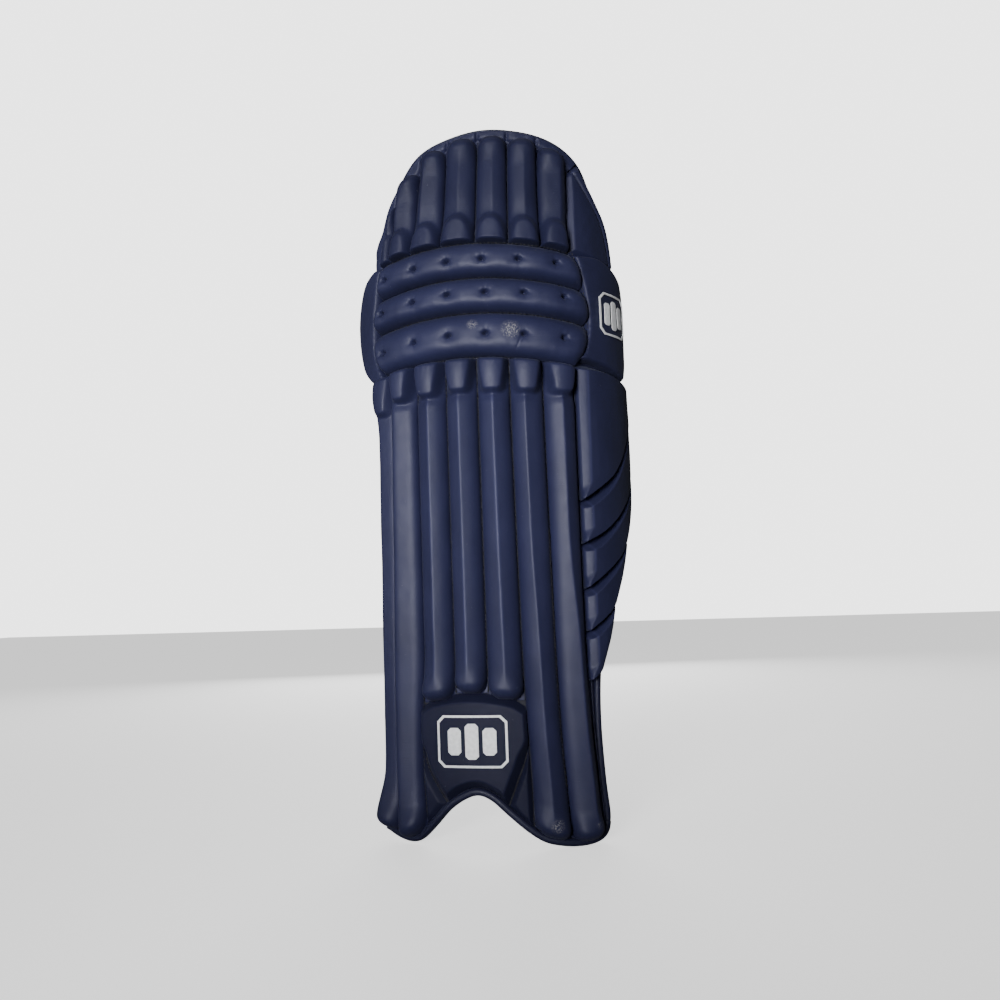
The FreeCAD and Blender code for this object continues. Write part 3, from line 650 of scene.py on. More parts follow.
RIGHT_END = [(500, 121), (507, 125), (521, 133), (546, 138), (569, 138), (597, 133), (622, 126), (645, 116)]
LEFT_END = [(500, -88), (509, -92), (532, -101), (552, -102), (578, -100), (597, -97), (628, -91),
            (645, -85)]


def end_at(curve, level):
    """Place of the rolls' rounded end at a level."""
    levels, places = zip(*curve)
    fine = np.linspace(levels[0], levels[-1], 60)
    coefficients = np.polyfit(levels, places, 5)
    return np.interp(level, fine, np.polyval(coefficients, fine))


def tufts(place, level, first, pitch, row_level):
    """Depth of six tuft dimples with the folds that run out of them."""
    depth = np.zeros_like(place)
    for number in range(6):
        centre = first + pitch * number
        dx = place - centre
        dz = level - row_level(centre)
        far = np.hypot(dx, dz)
        angle = np.arctan2(dz, dx)
        hole = 9.5 * np.exp(-(dx / 2.5) ** 2 - (dz / 2.1) ** 2) + 2.6 * np.exp(-(far / 8.5) ** 2)
        above = np.exp(-((dz - 6.0) / 5.0) ** 2 - (dx / 6.0) ** 2)
        folds = 0.22 * noise(dx / 2.6 + 9 * number, dz / 8, number) * above
        radial = 0.20 * np.cos(5 * angle + number * 1.7) * np.exp(-((far - 4.5) / 3.0) ** 2)
        depth += hole + folds + radial
    return depth


def creases(place, level):
    """Depth of two creases that run down from the fifth tuft of the lower roll."""
    depth = np.zeros_like(place)
    for shift, lean, strength, low in ((0, 0.42, 0.8, 516), (2.4, 0.34, 0.5, 522)):
        aside = place - (68.5 + shift + lean * (level - 538))
        length = step(low, low + 8, level) * step(540, 533, level)
        depth += strength * np.exp(-(aside / 0.9) ** 2) * length
    return depth


def knee_rolls():
    """Three stuffed rolls across the knee, each pulled in by six tufts."""
    rows = [
        ("lower", "low", "lower_roll", -85.0, 38.6, -1.2),
        ("middle", "lower_roll", "upper_roll", -86.0, 39.2, 0.0),
        ("upper", "upper_roll", "high", -81.0, 36.8, -2.5),
    ]
    u = (clustered(270, 0.25)[None, :] + 1) / 2
    t = clustered(62, 0.6)[:, None]
    rough = -100 + 236 * u
    for number, (name, low_seam, high_seam, first, pitch, sink) in enumerate(rows):
        low, high = seam_level(low_seam, rough), seam_level(high_seam, rough)
        level = low + SEAM_GAP + (high - low - 2 * SEAM_GAP) * (t + 1) / 2
        left, right = end_at(LEFT_END, level), end_at(RIGHT_END, level)
        place = left + (right - left) * u
        sagging = t + 0.13 * (1 - t * t)
        ends = dome(place - left, 9, 2.2) * (0.45 + 0.55 * dome(right - place, 15, 2.0))
        height = ROLL_HEIGHT * crowned(sagging, 2.7, 0.52) * ends * (1 - 0.05 * t)

        def middle(centre):
            rise = 2.4 * centre * abs(centre) / 110 ** 2
            return (seam_level(low_seam, centre) + seam_level(high_seam, centre)) / 2 + sink + rise

        inside = filled(height, 12)
        height = height - tufts(place, level, first, pitch, middle) * inside
        if name == "lower":
            height = height - creases(place, level) * inside
        height = height + wander(place, level, 20 + number) * inside * 1.5
        from_seam = (1 - np.abs(t)) * (high - low) / 2
        from_end = np.minimum(place - left, right - place)
        height = height + gathers(place, from_seam, 30 + number, 0.40, 4.2, 8) * inside
        height = height + gathers(level, from_end, 40 + number, 0.5, 3.0, 9) * inside
        piece = cover(f"knee_roll_{name}_cover", place, level, np.maximum(height, 0.1), 0.0)
        finish_piece(piece, f"knee_{name}", FACE, [f"knee_roll_{name}"])


# ---------------------------------------------------------------- thigh section

THIGH_SEAMS = [
    [(-99, 620), (-97, 640), (-90, 672), (-79, 700), (-68, 722)],
    [(-83, 620), (-82, 640), (-78, 672), (-73, 700), (-68, 724)],
    [(-57, 620), (-55.5, 640), (-47.5, 680), (-39, 737), (-38, 745)],
    [(-20, 620), (-19.5, 640), (-13, 690), (-8, 750), (-7, 760)],
    [(20, 620), (20, 640), (23.5, 700), (27, 760), (27, 765)],
    [(57, 620), (56.5, 640), (57.5, 700), (59, 759), (59.5, 765)],
    [(91.5, 620), (91, 640), (89.8, 700), (90.8, 751), (91, 760)],
    [(123, 620), (122.2, 640), (122.8, 680), (123.2, 719), (122, 735)],
]
THIGH_TOPS = [700, 731, 754, 762.5, 762.5, 758, 747.5]
THIGH_PEAKS = [0, -0.5, -0.45, 0.05, 0.1, 0.1, 0.35]


DOME = [(-109, 634), (-108, 656), (-95, 677), (-87, 697), (-74, 716), (-44, 750.5), (-3, 765),
        (43.5, 769.3), (101, 758), (139, 737)]


def distance_to(path, place, level):
    """Distance of every point from a smooth line."""
    line = curve_through(path, 120)
    gap = np.full(np.shape(place), 1e9)
    for point in line:
        gap = np.minimum(gap, np.hypot(place - point[0], level - point[1]))
    return gap


def along(seam, level):
    """Place of an upright seam at a level."""
    return np.interp(level, [point[1] for point in seam], [point[0] for point in seam])


def thigh_bar_heights(x, width, level, low, top, lobe_top, peak):
    """Height of a thigh bar: a gable with a rounded top end and a lobe at its foot."""
    soft = off_ridge(x, peak, 0.0012) - 0.034
    dip = 1 - 0.16 * np.exp(-((level - lobe_top - 4) / 12) ** 2)
    flat = (9.3 + 5.2 * (1 - 1.1 * soft)) * crowned(x, 4.6) * dip
    bulb = 17.0 * end_bulb(x, top - level, width * 0.5, 2.3)
    blend = step(34, 10, top - level)
    body = (flat * (1 - blend) + bulb * blend) * dome(top - level, 14)
    spread = step(lobe_top - 4, low + 2, level)
    reach = width * (0.37 + 0.20 * spread)
    outside = np.hypot(x * width / 2, np.maximum(level - lobe_top + width * 0.38, 0)) - reach
    lobe = (17.6 - 2.2 * x * x) * crowned(x, 4.2)
    lifted = step(4.0, -6.5, outside)
    body = body + (np.maximum(lobe - body, 0)) * lifted
    return body * dome(level - low, 2.6, 2.2)


def thigh_bars():
    """Seven bars that fan out over the thigh, each with a thumb-shaped lobe at its foot."""
    x = clustered(39, 0.6)[None, :]
    v = np.concatenate([np.linspace(0, 0.34, 48)[:-1], np.linspace(0.34, 0.78, 40)[:-1],
                        np.linspace(0.78, 1, 44)])[:, None]
    for number in range(7):
        left_seam, right_seam = THIGH_SEAMS[number], THIGH_SEAMS[number + 1]
        middle = (left_seam[1][0] + right_seam[1][0]) / 2
        low = seam_level("high", middle + x * 17) + 0.5
        top = THIGH_TOPS[number] + (4 * x if number < 2 else -3 * x if number > 5 else 0 * x)
        level = low + (top - low) * v
        left, right = along(left_seam, level), along(right_seam, level)
        place = left + SEAM_GAP + (right - left - 2 * SEAM_GAP) * (x + 1) / 2
        lobe_top = low + 30 - 1.2 * (number % 3)
        body = thigh_bar_heights(x, right - left, level, low, top, lobe_top, THIGH_PEAKS[number])
        if number == 0:
            body = body * 0.62
        body = np.minimum(body, 3.0 + 1.5 * distance_to(DOME, place, level))
        body = stuffed(body, place, level, 50 + number, 8)
        body = body + gathers(place, level - low, 60 + number, 0.3) * filled(body, 6)
        piece = cover(f"thigh_bar_{number + 1}_cover", place, level, np.maximum(body, 0.1), 0.0)
        finish_piece(piece, "thigh", THIGH_SHADED_FACE, [f"thigh_bar_{number + 1}"])


def thigh_rim():
    """The flat strip that shows around the tops of the bars, dented where the seams reach it."""
    inner = [(-94, 634), (-93, 654), (-80, 672), (-72, 692), (-61, 708), (-35, 738), (-2, 753),
             (41, 757), (98, 745), (127, 725)]
    place, level, edges = patch(*between(inner, DOME), 420, 22, 0.3)
    height = lowest(1.2, 4.8, 0.5 + edges["bottom"] * 1.2, 0.2 + edges["top"] * 3.0)
    for seam in THIGH_SEAMS[1:7]:
        aside = place - along(seam, level)
        height = height - 2.6 * np.exp(-(aside / 1.8) ** 2) * step(0, 5, edges["top"])
    height = height + 0.5 * noise(place / 6, level / 9, 71)
    piece = cover("thigh_rim_strip", place, level, np.maximum(height, 0.3), BASE)
    finish_piece(piece, "thigh", FACE, ["thigh_binding"])


def side_panel():
    """The plain outer side of the thigh with a seam that runs beside its edge."""
    places = np.array([123.8, 145, 165, 182, 198])
    bottom = list(zip(places, seam_level("high", places) + 1.0))
    top = [(125, 720), (131, 728.5), (138, 735)]
    left = [bottom[0], (124.0, 675), (125, 720)]
    right = [bottom[-1], (186, 669), (161, 703), (138, 735)]
    place, level, edges = patch(bottom, top, left, right, 90, 110, 0.5)
    height = lowest(1.6, 7.0, 0.4 + edges["left"] * 1.1, 0.2 + edges["right"] * 1.6,
                    0.6 + edges["bottom"] * 1.2, 0.4 + edges["top"] * 1.2)
    groove = np.exp(-((edges["right"] - 11.5) / 1.1) ** 2)
    height = height - 2.0 * groove + 0.9 * np.exp(-((edges["right"] - 5.5) / 4.0) ** 2)
    height = stuffed(height, place, level, 75, 6, 1.4)
    piece = cover("thigh_side_cover", place, level, np.maximum(height, 0.2), BASE)
    finish_piece(piece, "thigh", SIDE, ["thigh_side_panel"])


def covered_board(name, body, node, curves, cols, rows, cluster, seed):
    """A covered board behind the padding, slightly uneven at its back."""
    place, level, _ = patch(*curves, cols, rows, cluster)
    back = -5.9 + 0.25 * noise(place / 15, level / 22, seed)
    finish_piece(cover(name, place, level, -0.1, back), body, BOARD_COVER, [node])


def thigh_board():
    """The board behind the thigh, up to its bound edge."""
    bottom = along_seam("high", -105, 198, 30, 0.8)
    right = [bottom[-1], (186, 669), (161, 703.5), DOME[-1]]
    curves = (bottom, DOME, [bottom[0], DOME[0]], right)
    covered_board("thigh_board_cover", "thigh", "thigh_backing", curves, 150, 120, 0.2, 63)


def thigh_edge():
    """The thin bound edge that runs over the dome and down the outer side."""
    outer = DOME[:-1] + [(139.3, 736.5), (161, 703.5), (186, 669.5), (198, seam_level("high", 198) + 1.5)]
    piping_piece("thigh_edge_piping", "thigh", [(outer, 1.7, -3.5, 2.6)])


# ---------------------------------------------------------------- piping and stitching

def piping(path, half_width, low, high, wing=False):
    """A stuffed piping along a path of (place, level) points: its vertices and faces."""
    count, sides = 200, 14
    line = curve_through(path, count)
    tangent = unit(np.gradient(line, axis=0))
    angle = np.arange(sides) * 2 * math.pi / sides
    aside = half_width * np.sign(np.cos(angle)) * np.abs(np.cos(angle)) ** 0.8
    upward = (low + high) / 2 + (high - low) / 2 * np.sign(np.sin(angle)) * np.abs(np.sin(angle)) ** 0.8
    taper = np.clip(np.minimum(np.arange(count), np.arange(count)[::-1]) / 2.0, 0.25, 1)[:, None]
    middle = (low + high) / 2
    place = line[:, :1] - tangent[:, 1:] * aside[None] * taper
    level = line[:, 1:] + tangent[:, :1] * aside[None] * taper
    height = middle + (upward[None] - middle) * taper
    return surface(place, level, height, wing).reshape(-1, 3), tube_faces(count, sides, flip=False)


def piping_piece(name, body, paths, nodes=(), wing=False):
    """One or more pipings, each (path, half width, lowest, highest), as a single piece."""
    piece = new_mesh(name, *merged(piping(*path, wing) for path in paths))
    return finish_piece(piece, body, BINDING, nodes)


STITCH_LENGTH = 3.0
STITCH_PITCH = 4.4
STITCH_RADIUS = 0.5


def stitch_row(points):
    """Dashes of thread along a dense line of points: their vertices and faces."""
    distance = travelled(points)
    stops = np.arange(STITCH_PITCH / 2, distance[-1] - STITCH_PITCH / 2, STITCH_PITCH)
    ahead = unit(read_at(stops + 1.0, distance, points) - read_at(stops - 1.0, distance, points))
    middle = read_at(stops, distance, points)[:, None]
    sides = 6
    ring = rings(ahead, [0.37, 0.61, 0.70], sides)
    shares = ((-0.5, 0.35), (-0.34, 0.95), (0.34, 0.95), (0.5, 0.35))
    rows = [middle + ahead[:, None] * STITCH_LENGTH * place + ring * STITCH_RADIUS * size
            for place, size in shares]
    single = tube_faces(len(shares), sides)
    return merged((dash, single) for dash in np.stack(rows, 1).reshape(len(stops), -1, 3))


def stitching(name, body, rows, wing=False):
    """All the stitch rows of one body, each (path, height), as a single piece."""
    forms = []
    for path, height in rows:
        line = curve_through(path, 300)
        forms.append(stitch_row(surface(line[:, 0], line[:, 1], height, wing)))
    return finish_piece(new_mesh(name, *merged(forms)), body, THREAD)


def shin_stitches():
    """Stitches in the valleys between the bars and around the instep."""
    lows = [10, 30, 157, 157, 20, 8]
    rows = []
    for number in range(6):
        levels = np.linspace(lows[number], float(seam_level("low", bar_seam(number + 1, 520))) - 2, 12)
        rows.append((list(zip(bar_seam(number + 1, levels), levels)), 2.3))
    levels = np.linspace(58, 330, 12)
    rows.append((list(zip(bar_seam(6, levels) - 1.3, levels)), 6.1))
    rows.append((list(zip(bar_seam(1, levels) + 1.2, levels)), 6.3))
    rows.append(([(-31.4, 43), (-42.2, 59), (-52.3, 77), (-57.0, 93)], 1.9))
    rows.append(([(36, 42), (46, 66), (53.2, 84), (57.6, 99)], 1.9))
    stitching("shin_stitching", "shin", rows)


ENDS = {"knee_lower": (512, 556), "knee_middle": (562, 596), "knee_upper": (601, 632)}


def knee_stitches():
    """Stitches between the rolls and along their rounded ends."""
    spans = {"knee_lower": ("low", -91, 124), "knee_middle": ("lower_roll", -99, 134),
             "knee_upper": ("upper_roll", -95, 130), "thigh": ("high", -92, 124)}
    for body, (seam, first, last) in spans.items():
        rows = [(along_seam(seam, first, last, 15, 0.4), 3.0)]
        if body in ENDS:
            levels = np.linspace(*ENDS[body], 8)
            rows.append((list(zip(end_at(RIGHT_END, levels) + 0.6, levels)), 9.6))
            rows.append((list(zip(end_at(LEFT_END, levels) - 0.6, levels)), 5.4))
        stitching(f"{body}_stitching", body, rows)


# ---------------------------------------------------------------- instep

HEM = [(-116, 11), (-106, 9.5), (-90, 5), (-76, 3.2), (-65, 6), (-49, 20), (-31, 38), (-13, 50), (4, 55),
       (20, 49), (38, 33), (56, 17.5), (72, 7), (88, 2.4), (106, 0.2), (122, 0.6), (133, 3.2),
       (140, 9.6), (142.6, 20)]


def badge_panel():
    """The raised shield over the instep with sloping borders."""
    bottom = [(-30, 43), (-14, 54.5), (4, 59.5), (20, 54), (35, 41)]
    top = [(-56.4, 143.5), (-38, 152), (0, 157), (38, 152), (56.4, 142)]
    left = [(-30, 43), (-41, 58), (-51.3, 76), (-56.3, 95), (-57.5, 112), (-56.4, 143.5)]
    right = [(35, 41), (45, 66), (52.3, 84), (57.2, 103), (57.2, 120), (56.4, 142)]
    place, level, edges = patch(bottom, top, left, right, 150, 150, 0.5)
    start = 0.4 + 6.5 * step(90, 110, level)
    height = lowest(1.6, SHIELD_HEIGHT, start + edges["left"] * 1.3, start + edges["right"] * 1.3,
                    0.8 + edges["top"] * 1.25, 1.5 + edges["bottom"] * 1.3)
    height = stuffed(height, place, level, 81, 8, 0.5)
    height = height + gathers(place, edges["bottom"], 82, 0.35, 4, 6) * filled(height, 5)
    # Painted highlight along the rim of the shield's raised face; partly real rubbing.
    highlight_and_wear = 0.5 * np.exp(-((height - 11.2) / 0.5) ** 2)
    piece = cover("instep_badge_cover", place, level, np.maximum(height, 0.2), BASE, highlight_and_wear)
    finish_piece(piece, "shin", BADGE_FACE, ["instep_badge_panel"])


def gussets():
    """The two stitched triangles beside the shield."""
    left_side = ([(-57.0, 17), (-45, 29), (-31.5, 41)], [(-58.0, 107), (-57.9, 108)],
                 [(-57.0, 17), (-58.6, 60), (-58.0, 107)],
                 [(-31.5, 41), (-42.3, 57.5), (-52.5, 76), (-57.5, 95), (-57.9, 108)])
    right_side = ([(36, 39.5), (47, 27.5), (60.3, 16)], [(57.9, 106), (58.0, 105)],
                  [(36, 39.5), (46.2, 65.5), (53.5, 84), (57.9, 106)], [(60.3, 16), (59.8, 60), (58.0, 105)])
    for name, curves in (("left", left_side), ("right", right_side)):
        place, level, edges = patch(*curves, 50, 90, 0.5)
        height = lowest(1.5, 6.0, 0.3 + edges["left"] * 1.0, 0.3 + edges["right"] * 1.0,
                        0.5 + edges["bottom"] * 0.8, 0.3 + edges["top"] * 0.8)
        height = stuffed(height, place, level, 85, 5, 1.3)
        piece = cover(f"instep_gusset_{name}_cover", place, level, np.maximum(height, 0.15), BASE)
        finish_piece(piece, "shin", BADGE_FACE, [f"instep_gusset_{name}"])


def flat_shape(outline, low, high, place_0, level_0, cells=12):
    """A closed flat print: a polygon given around a centre, laid on the surface between two heights."""
    outline = np.array(outline, float)
    after = np.roll(outline, -1, 0)
    t = np.linspace(0, 1, cells, endpoint=False)[None, :, None]
    rim = (outline[:, None] * (1 - t) + after[:, None] * t).reshape(-1, 2)
    middle = rim.mean(0)
    flat = np.vstack([middle + (rim - middle) * share for share in (1.0, 0.66, 0.33)] + [middle[None]])
    count, size = len(rim), len(flat)
    pairs = [(i, (i + 1) % count) for i in range(count)]
    faces = [[ring + i, ring + j, ring + count + j, ring + count + i]
             for ring in (0, count) for i, j in pairs]
    faces += [[2 * count + i, 2 * count + j, 3 * count] for i, j in pairs]
    faces += [[size + i for i in face][::-1] for face in faces]
    faces += [[j, i, size + i, size + j] for i, j in pairs]
    place, level = flat[:, 0] + place_0, flat[:, 1] + level_0
    return np.vstack([surface(place, level, high), surface(place, level, low)]), faces


def octagon(half_width, half_height, cut):
    """Corner points of a rectangle with cut corners, anticlockwise."""
    w, h = half_width, half_height
    return [(w, -h + cut), (w, h - cut), (w - cut, h), (-w + cut, h), (-w, h - cut), (-w, -h + cut),
            (-w + cut, -h), (w - cut, -h)]


def emblem(name, body, node, centre, half_width, half_height, height):
    """A plain badge: an eight-sided frame around three upright strokes."""
    line, cut = 2.3, 6.5
    outer = octagon(half_width, half_height, cut)
    inner = octagon(half_width - line, half_height - line, cut - line * 0.4)
    corners = list(zip(outer, inner))
    outlines = [[a, b, d, c] for (a, c), (b, d) in zip(corners, corners[1:] + corners[:1])]
    stroke = half_width * 0.19
    for number in (-1, 0, 1):
        middle = number * half_width * 0.50
        tall = half_height * (0.68 if number == 0 else 0.52)
        outlines.append([(middle + x, y) for x, y in octagon(stroke, tall, stroke * 0.45)])
    forms = [flat_shape(outline, height - 0.3, height + 0.35, *centre) for outline in outlines]
    finish_piece(new_mesh(name, *merged(forms), smooth=False), body, SILVER, [node])


def foot_edges():
    """The stout piping around the foot and the closed lower part of the outer edge."""
    piping_piece("hem_piping_cover", "shin", [(HEM, 4.2, -6, 6.5)], nodes=["hem_piping"])
    edge = [(142.2, 14), (143.5, 26), (139.5, 60), (136.5, 110), (137, 150), (140, 184)]
    inner = [(137.0, 10), (138.3, 30), (135, 60), (131.5, 100), (130, 130), (129.5, 166)]
    bottom = [(127, 2), (134, 3), (141, 10)]
    top = [(123, 164), (131, 171), (140, 184)]
    right = [(141, 10), (143, 26), (139, 60), (136.5, 110), (137, 150), (140, 184)]
    place, level, _ = patch(bottom, top, [(127, 2), (126, 80), (123, 164)], right, 40, 120, 0.3)
    height = 1.4 + 0.4 * noise(place / 9, level / 14, 91)
    piece = cover("side_gusset_cover", place, level, height, -2.5)
    finish_piece(piece, "shin", SIDE, ["side_gusset_lower"])
    piping_piece("side_gusset_piping", "shin", [(edge, 3.6, -3, 5.0), (inner, 1.4, 0.6, 3.6)])
    inner_edge = [(-113.4, 14), (-111.6, 150), (-110.6, 300), (-110.4, 497)]
    piping_piece("inner_edge_piping", "shin", [(inner_edge, 2.2, -6, 2.5)], nodes=["edge_piping_left"])


# ---------------------------------------------------------------- outer wing of the shin

WING_SEAMS = [
    [(123.4, 505.5), (136, 506.5), (156, 505), (182, 500), (214, 493.5), (227, 489.5)],
    [(123.4, 354.5), (134, 361.5), (160, 380), (181, 402), (198, 424), (240, 466)],
    [(123.4, 308.5), (146, 320.5), (175, 343), (205, 370), (227, 398)],
    [(123.4, 260), (146, 277), (171, 297), (194, 324)],
    [(123.4, 215), (149, 235), (165, 256)],
    [(123.4, 163), (134, 173), (141, 188)],
]
WING_REAR = [(239, 477), (242, 432), (217, 362), (184, 294), (156, 222)]


def wing_segments():
    """Five padded segments with sharp bevels along the wing's front edge."""
    for number in range(5):
        above, below = WING_SEAMS[number], WING_SEAMS[number + 1]
        gap = 0.35
        top = [(s, z - gap) for s, z in above]
        bottom = [(s, z + gap) for s, z in below]
        left = [bottom[0], ((bottom[0][0] + top[0][0]) / 2, (bottom[0][1] + top[0][1]) / 2), top[0]]
        right = [bottom[-1], WING_REAR[number], top[-1]]
        rows = 190 if number == 0 else 90
        place, level, edges = patch(bottom, top, left, right, 120, rows, 0.45)
        face = WING_HEIGHT - 0.105 * np.maximum(place - 140, 0)
        rear = 0.4 + 17.5 * dome(edges["right"], 30)
        top_slope = 2.2 if number == 0 else 1.9
        corner = 7.0 * step(17, 3, edges["bottom"])
        height = lowest(2.2, face, 11.8 + edges["left"] * 0.78 + corner, 0.6 + edges["top"] * top_slope,
                        0.6 + edges["bottom"] * 4.5)
        height = stuffed(lowest(0.8, height, rear), place, level, 101 + number, 10)
        height = height + gathers(place, edges["bottom"], 111 + number, 0.3, 5, 6) * filled(height, 8)
        # Painted highlight along the crisp edge of each segment's front bevel; partly real rubbing.
        highlight_and_wear = 0.5 * np.exp(-((edges["left"] - 8.8) / 1.2) ** 2) * step(12, 18, edges["bottom"])
        name = f"wing_segment_{number + 1}"
        piece = cover(f"{name}_cover", place, level, np.maximum(height, 0.2), BASE, highlight_and_wear, wing=True)
        finish_piece(piece, "shin_wing", SIDE, [name])
    rows = [([(s - 0.5, z + 1.5) for s, z in seam], 6.6) for seam in WING_SEAMS[1:5]]
    stitching("wing_stitching", "shin_wing", rows, wing=True)
    rim = [(227, 488.5), (239.5, 476), (241, 462), (242.5, 432), (229, 398), (218, 362), (196, 325),
           (185, 294), (166.5, 257), (157, 222), (142.5, 189), (134, 173.5), (124.5, 164)]
    piping_piece("wing_edge_piping", "shin_wing", [(rim, 2.0, -4.2, 1.2)], wing=True)


# ---------------------------------------------------------------- flaps beside the knee

def outer_flap():
    """The padded flap that continues the rolls around the outer side of the knee."""
    left = [(125.5, 510), (128.5, 514), (134.2, 523), (139.0, 546), (139.0, 569), (134.0, 597),
            (127.3, 622), (125.5, 627)]
    bottom = [(125.5, 510), (150, 507.5), (185, 500.5), (207, 496)]
    top = [(125.5, 627), (151, 629.5), (168, 626.5), (187, 619), (204, 606)]
    right = [(207, 496), (215, 518), (217.5, 560), (213, 590), (204, 606)]
    place, level, edges = patch(bottom, top, left, right, 120, 130, 0.5)
    height = lowest(0.9, 15.0, 9.5 + 6.5 * dome(edges["left"], 5),
                    0.4 + 15.4 * dome(edges["top"], 6), 0.4 + 15.4 * dome(edges["bottom"], 6),
                    0.4 + 15.4 * dome(edges["right"], 14))
    inside = filled(height, 8)
    height = height + gathers(level, edges["left"], 121, 0.55, 3.4, 9) * inside
    height = height + wander(place, level, 122) * inside
    piece = cover("knee_flap_outer_cover", place, level, np.clip(height, 0.2, 15.6), BASE)
    finish_piece(piece, None, SIDE, ["knee_wing_outer"])
    blend_across(piece, "knee_middle", "knee_outer_flap", *OUTER_FLAP_ROOT)
    rim = [(190, 500), (207, 496.8), (215, 518), (217.5, 560), (213, 590), (204, 605.5), (188, 618)]
    piping_piece("knee_flap_outer_piping", "knee_outer_flap", [(rim, 2.0, -2.0, 2.2)])
    emblem("knee_flap_badge", "knee_outer_flap", "knee_wing_emblem", (176, 566), 24, 24, 15.4)


def inner_flap():
    """The smaller flap beside the rolls' inner ends."""
    right = [(-89.5, 503), (-93.4, 509), (-102.3, 532), (-103.4, 552), (-101.4, 578), (-98.4, 597),
             (-92.4, 628), (-91.5, 632)]
    left = [(-112, 501), (-133, 525), (-143.5, 575), (-128, 617), (-102, 633)]
    bottom = [(-112, 501), (-100, 500.5), (-89.5, 503)]
    top = [(-102, 633), (-96, 634), (-91.5, 632)]
    place, level, edges = patch(bottom, top, left, right, 80, 130, 0.5)
    height = lowest(0.9, 14.0, 0.4 + 14.4 * dome(edges["left"], 12),
                    5.0 + 10.0 * dome(edges["right"], 6), 0.4 + 14.4 * dome(edges["top"], 12),
                    0.4 + 14.4 * dome(edges["bottom"], 12))
    inside = filled(height, 8)
    height = height + gathers(level, edges["right"], 131, 0.5, 3.4, 8) * inside
    height = height + wander(place, level, 132) * inside
    piece = cover("knee_flap_inner_cover", place, level, np.clip(height, 0.2, 15.0), BASE)
    finish_piece(piece, None, SIDE, ["knee_wing_inner"])
    blend_across(piece, "knee_middle", "knee_inner_flap", [-111, -123], 565, 7)


# ---------------------------------------------------------------- fabric across the joints

def seam_fabric():
    """The cover fabric under the seams across the knee and beside the wing."""
    crossings = [
        ("low", "shin", "knee_lower", -108, 126),
        ("lower_roll", "knee_lower", "knee_middle", -109, 142),
        ("upper_roll", "knee_middle", "knee_upper", -105, 139),
        ("high", "knee_upper", "thigh", -98, 129),
    ]
    for seam, lower, upper, first, last in crossings:
        place = np.linspace(first, last, 90)[None, :]
        away = np.linspace(-24, 24, 25)[:, None]
        level = seam_level(seam, place) + away * 0.7
        tuck = 0.7 - 1.2 * np.exp(-(away / 2.5) ** 2)
        piece = cover(f"seam_fabric_{lower}_{upper}", place, level, tuck, -1.6)
        finish_piece(piece, None, BINDING)
        middle = surface(0, SEAM_LEVELS[seam], 0) / 1000
        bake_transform(piece)
    level = np.linspace(170, 493, 60)[:, None]
    place = np.linspace(112, 134, 23)[None, :]
    piece = cover("seam_fabric_shin_wing", place, level, 0.5, -1.2, wing=True)
    finish_piece(piece, None, BINDING)
    blend_across(piece, "shin", "shin_wing", [116, 131], 330, 0, wing=True)


def board():
    """The board behind the bars, up to the foot's piping."""
    bottom = [(-112.5, 12), (-90, 6), (-76, 4), (-65, 8), (-49, 22), (-31, 40), (-13, 52), (4, 57),
              (20, 51), (38, 35), (56, 19), (72, 8), (88, 2), (108, 0), (122.3, 1)]
    curves = between(bottom, along_seam("low", -110.5, 122.3, 25, -1.2))
    covered_board("shin_board_cover", "shin", "shin_backing", curves, 160, 160, 0.1, 61)


def flap_skirts():
    """Fabric tongues between the outer flap and the wing below it and the thigh above it."""
    spans = {"lower": (124, 214, 488, 516, 476, 502), "upper": (125, 190, 622, 640, 606, 626)}
    for name, (first, last, low, high, low_end, high_end) in spans.items():
        u = np.linspace(0, 1, 60)[None, :]
        v = np.linspace(0, 1, 12)[:, None]
        place = first + (last - first) * u + 0 * v
        level = (low + (low_end - low) * u ** 1.5) * (1 - v) + (high + (high_end - high) * u ** 1.5) * v
        piece = cover(f"knee_flap_skirt_{name}", place, level, 0.9, -0.5)
        finish_piece(piece, None, BINDING)
        blend_across(piece, "knee_middle", "knee_outer_flap", *OUTER_FLAP_ROOT)


# ---------------------------------------------------------------- lining behind the leg

def bolster(name, body, node, curves, inner, outer, seed, across=(), upright=(), cols=60, rows=200):
    """A stuffed lining panel: flat against the board, swelling towards the leg between sewn channels."""
    place, level, edges = patch(*curves, cols, rows, 0.45)
    swell = dome(np.minimum.reduce(list(edges.values())), 13, 2.2)
    for aside in [level - value for value in across] + [place - value for value in upright]:
        swell = swell * (1 - 0.72 * np.exp(-np.abs(aside) / 4.0))
    depth = outer + 0.4 + (inner - outer - 0.8) * swell
    folds = 0.6 * noise(place / 13, level / 22, seed) + 0.35 * noise(place / 5, level / 9, seed + 1)
    depth = depth + folds * np.clip(swell, 0, 1) * 0.9
    piece = cover(name, place, level, outer, np.clip(depth, inner, outer - 0.3))
    finish_piece(piece, body, LINING, [node])


def shin_linings():
    """The three upright bolsters behind the shin."""
    across = (120, 210, 300, 390)
    inner_side = between([(-112, 34), (-84, 26), (-66, 32), (-47, 48), (-29, 65)], [(-112, 488), (-29, 490)])
    outer_side = between([(29, 66), (47, 50), (66, 36), (88, 24), (117, 20)], [(29, 490), (117, 488)])
    middle = between([(-25, 70), (25, 70)], [(-25, 480), (25, 480)])
    name = "shin_lining_{}_bolster"
    bolster(name.format("inner"), "shin", "shin_lining_left", inner_side, -22, -6.3, 201, across)
    bolster(name.format("outer"), "shin", "shin_lining_right", outer_side, -22, -6.3, 202, across)
    bolster(name.format("middle"), "shin", "shin_lining_centre", middle, -21.5, -7.0, 203)


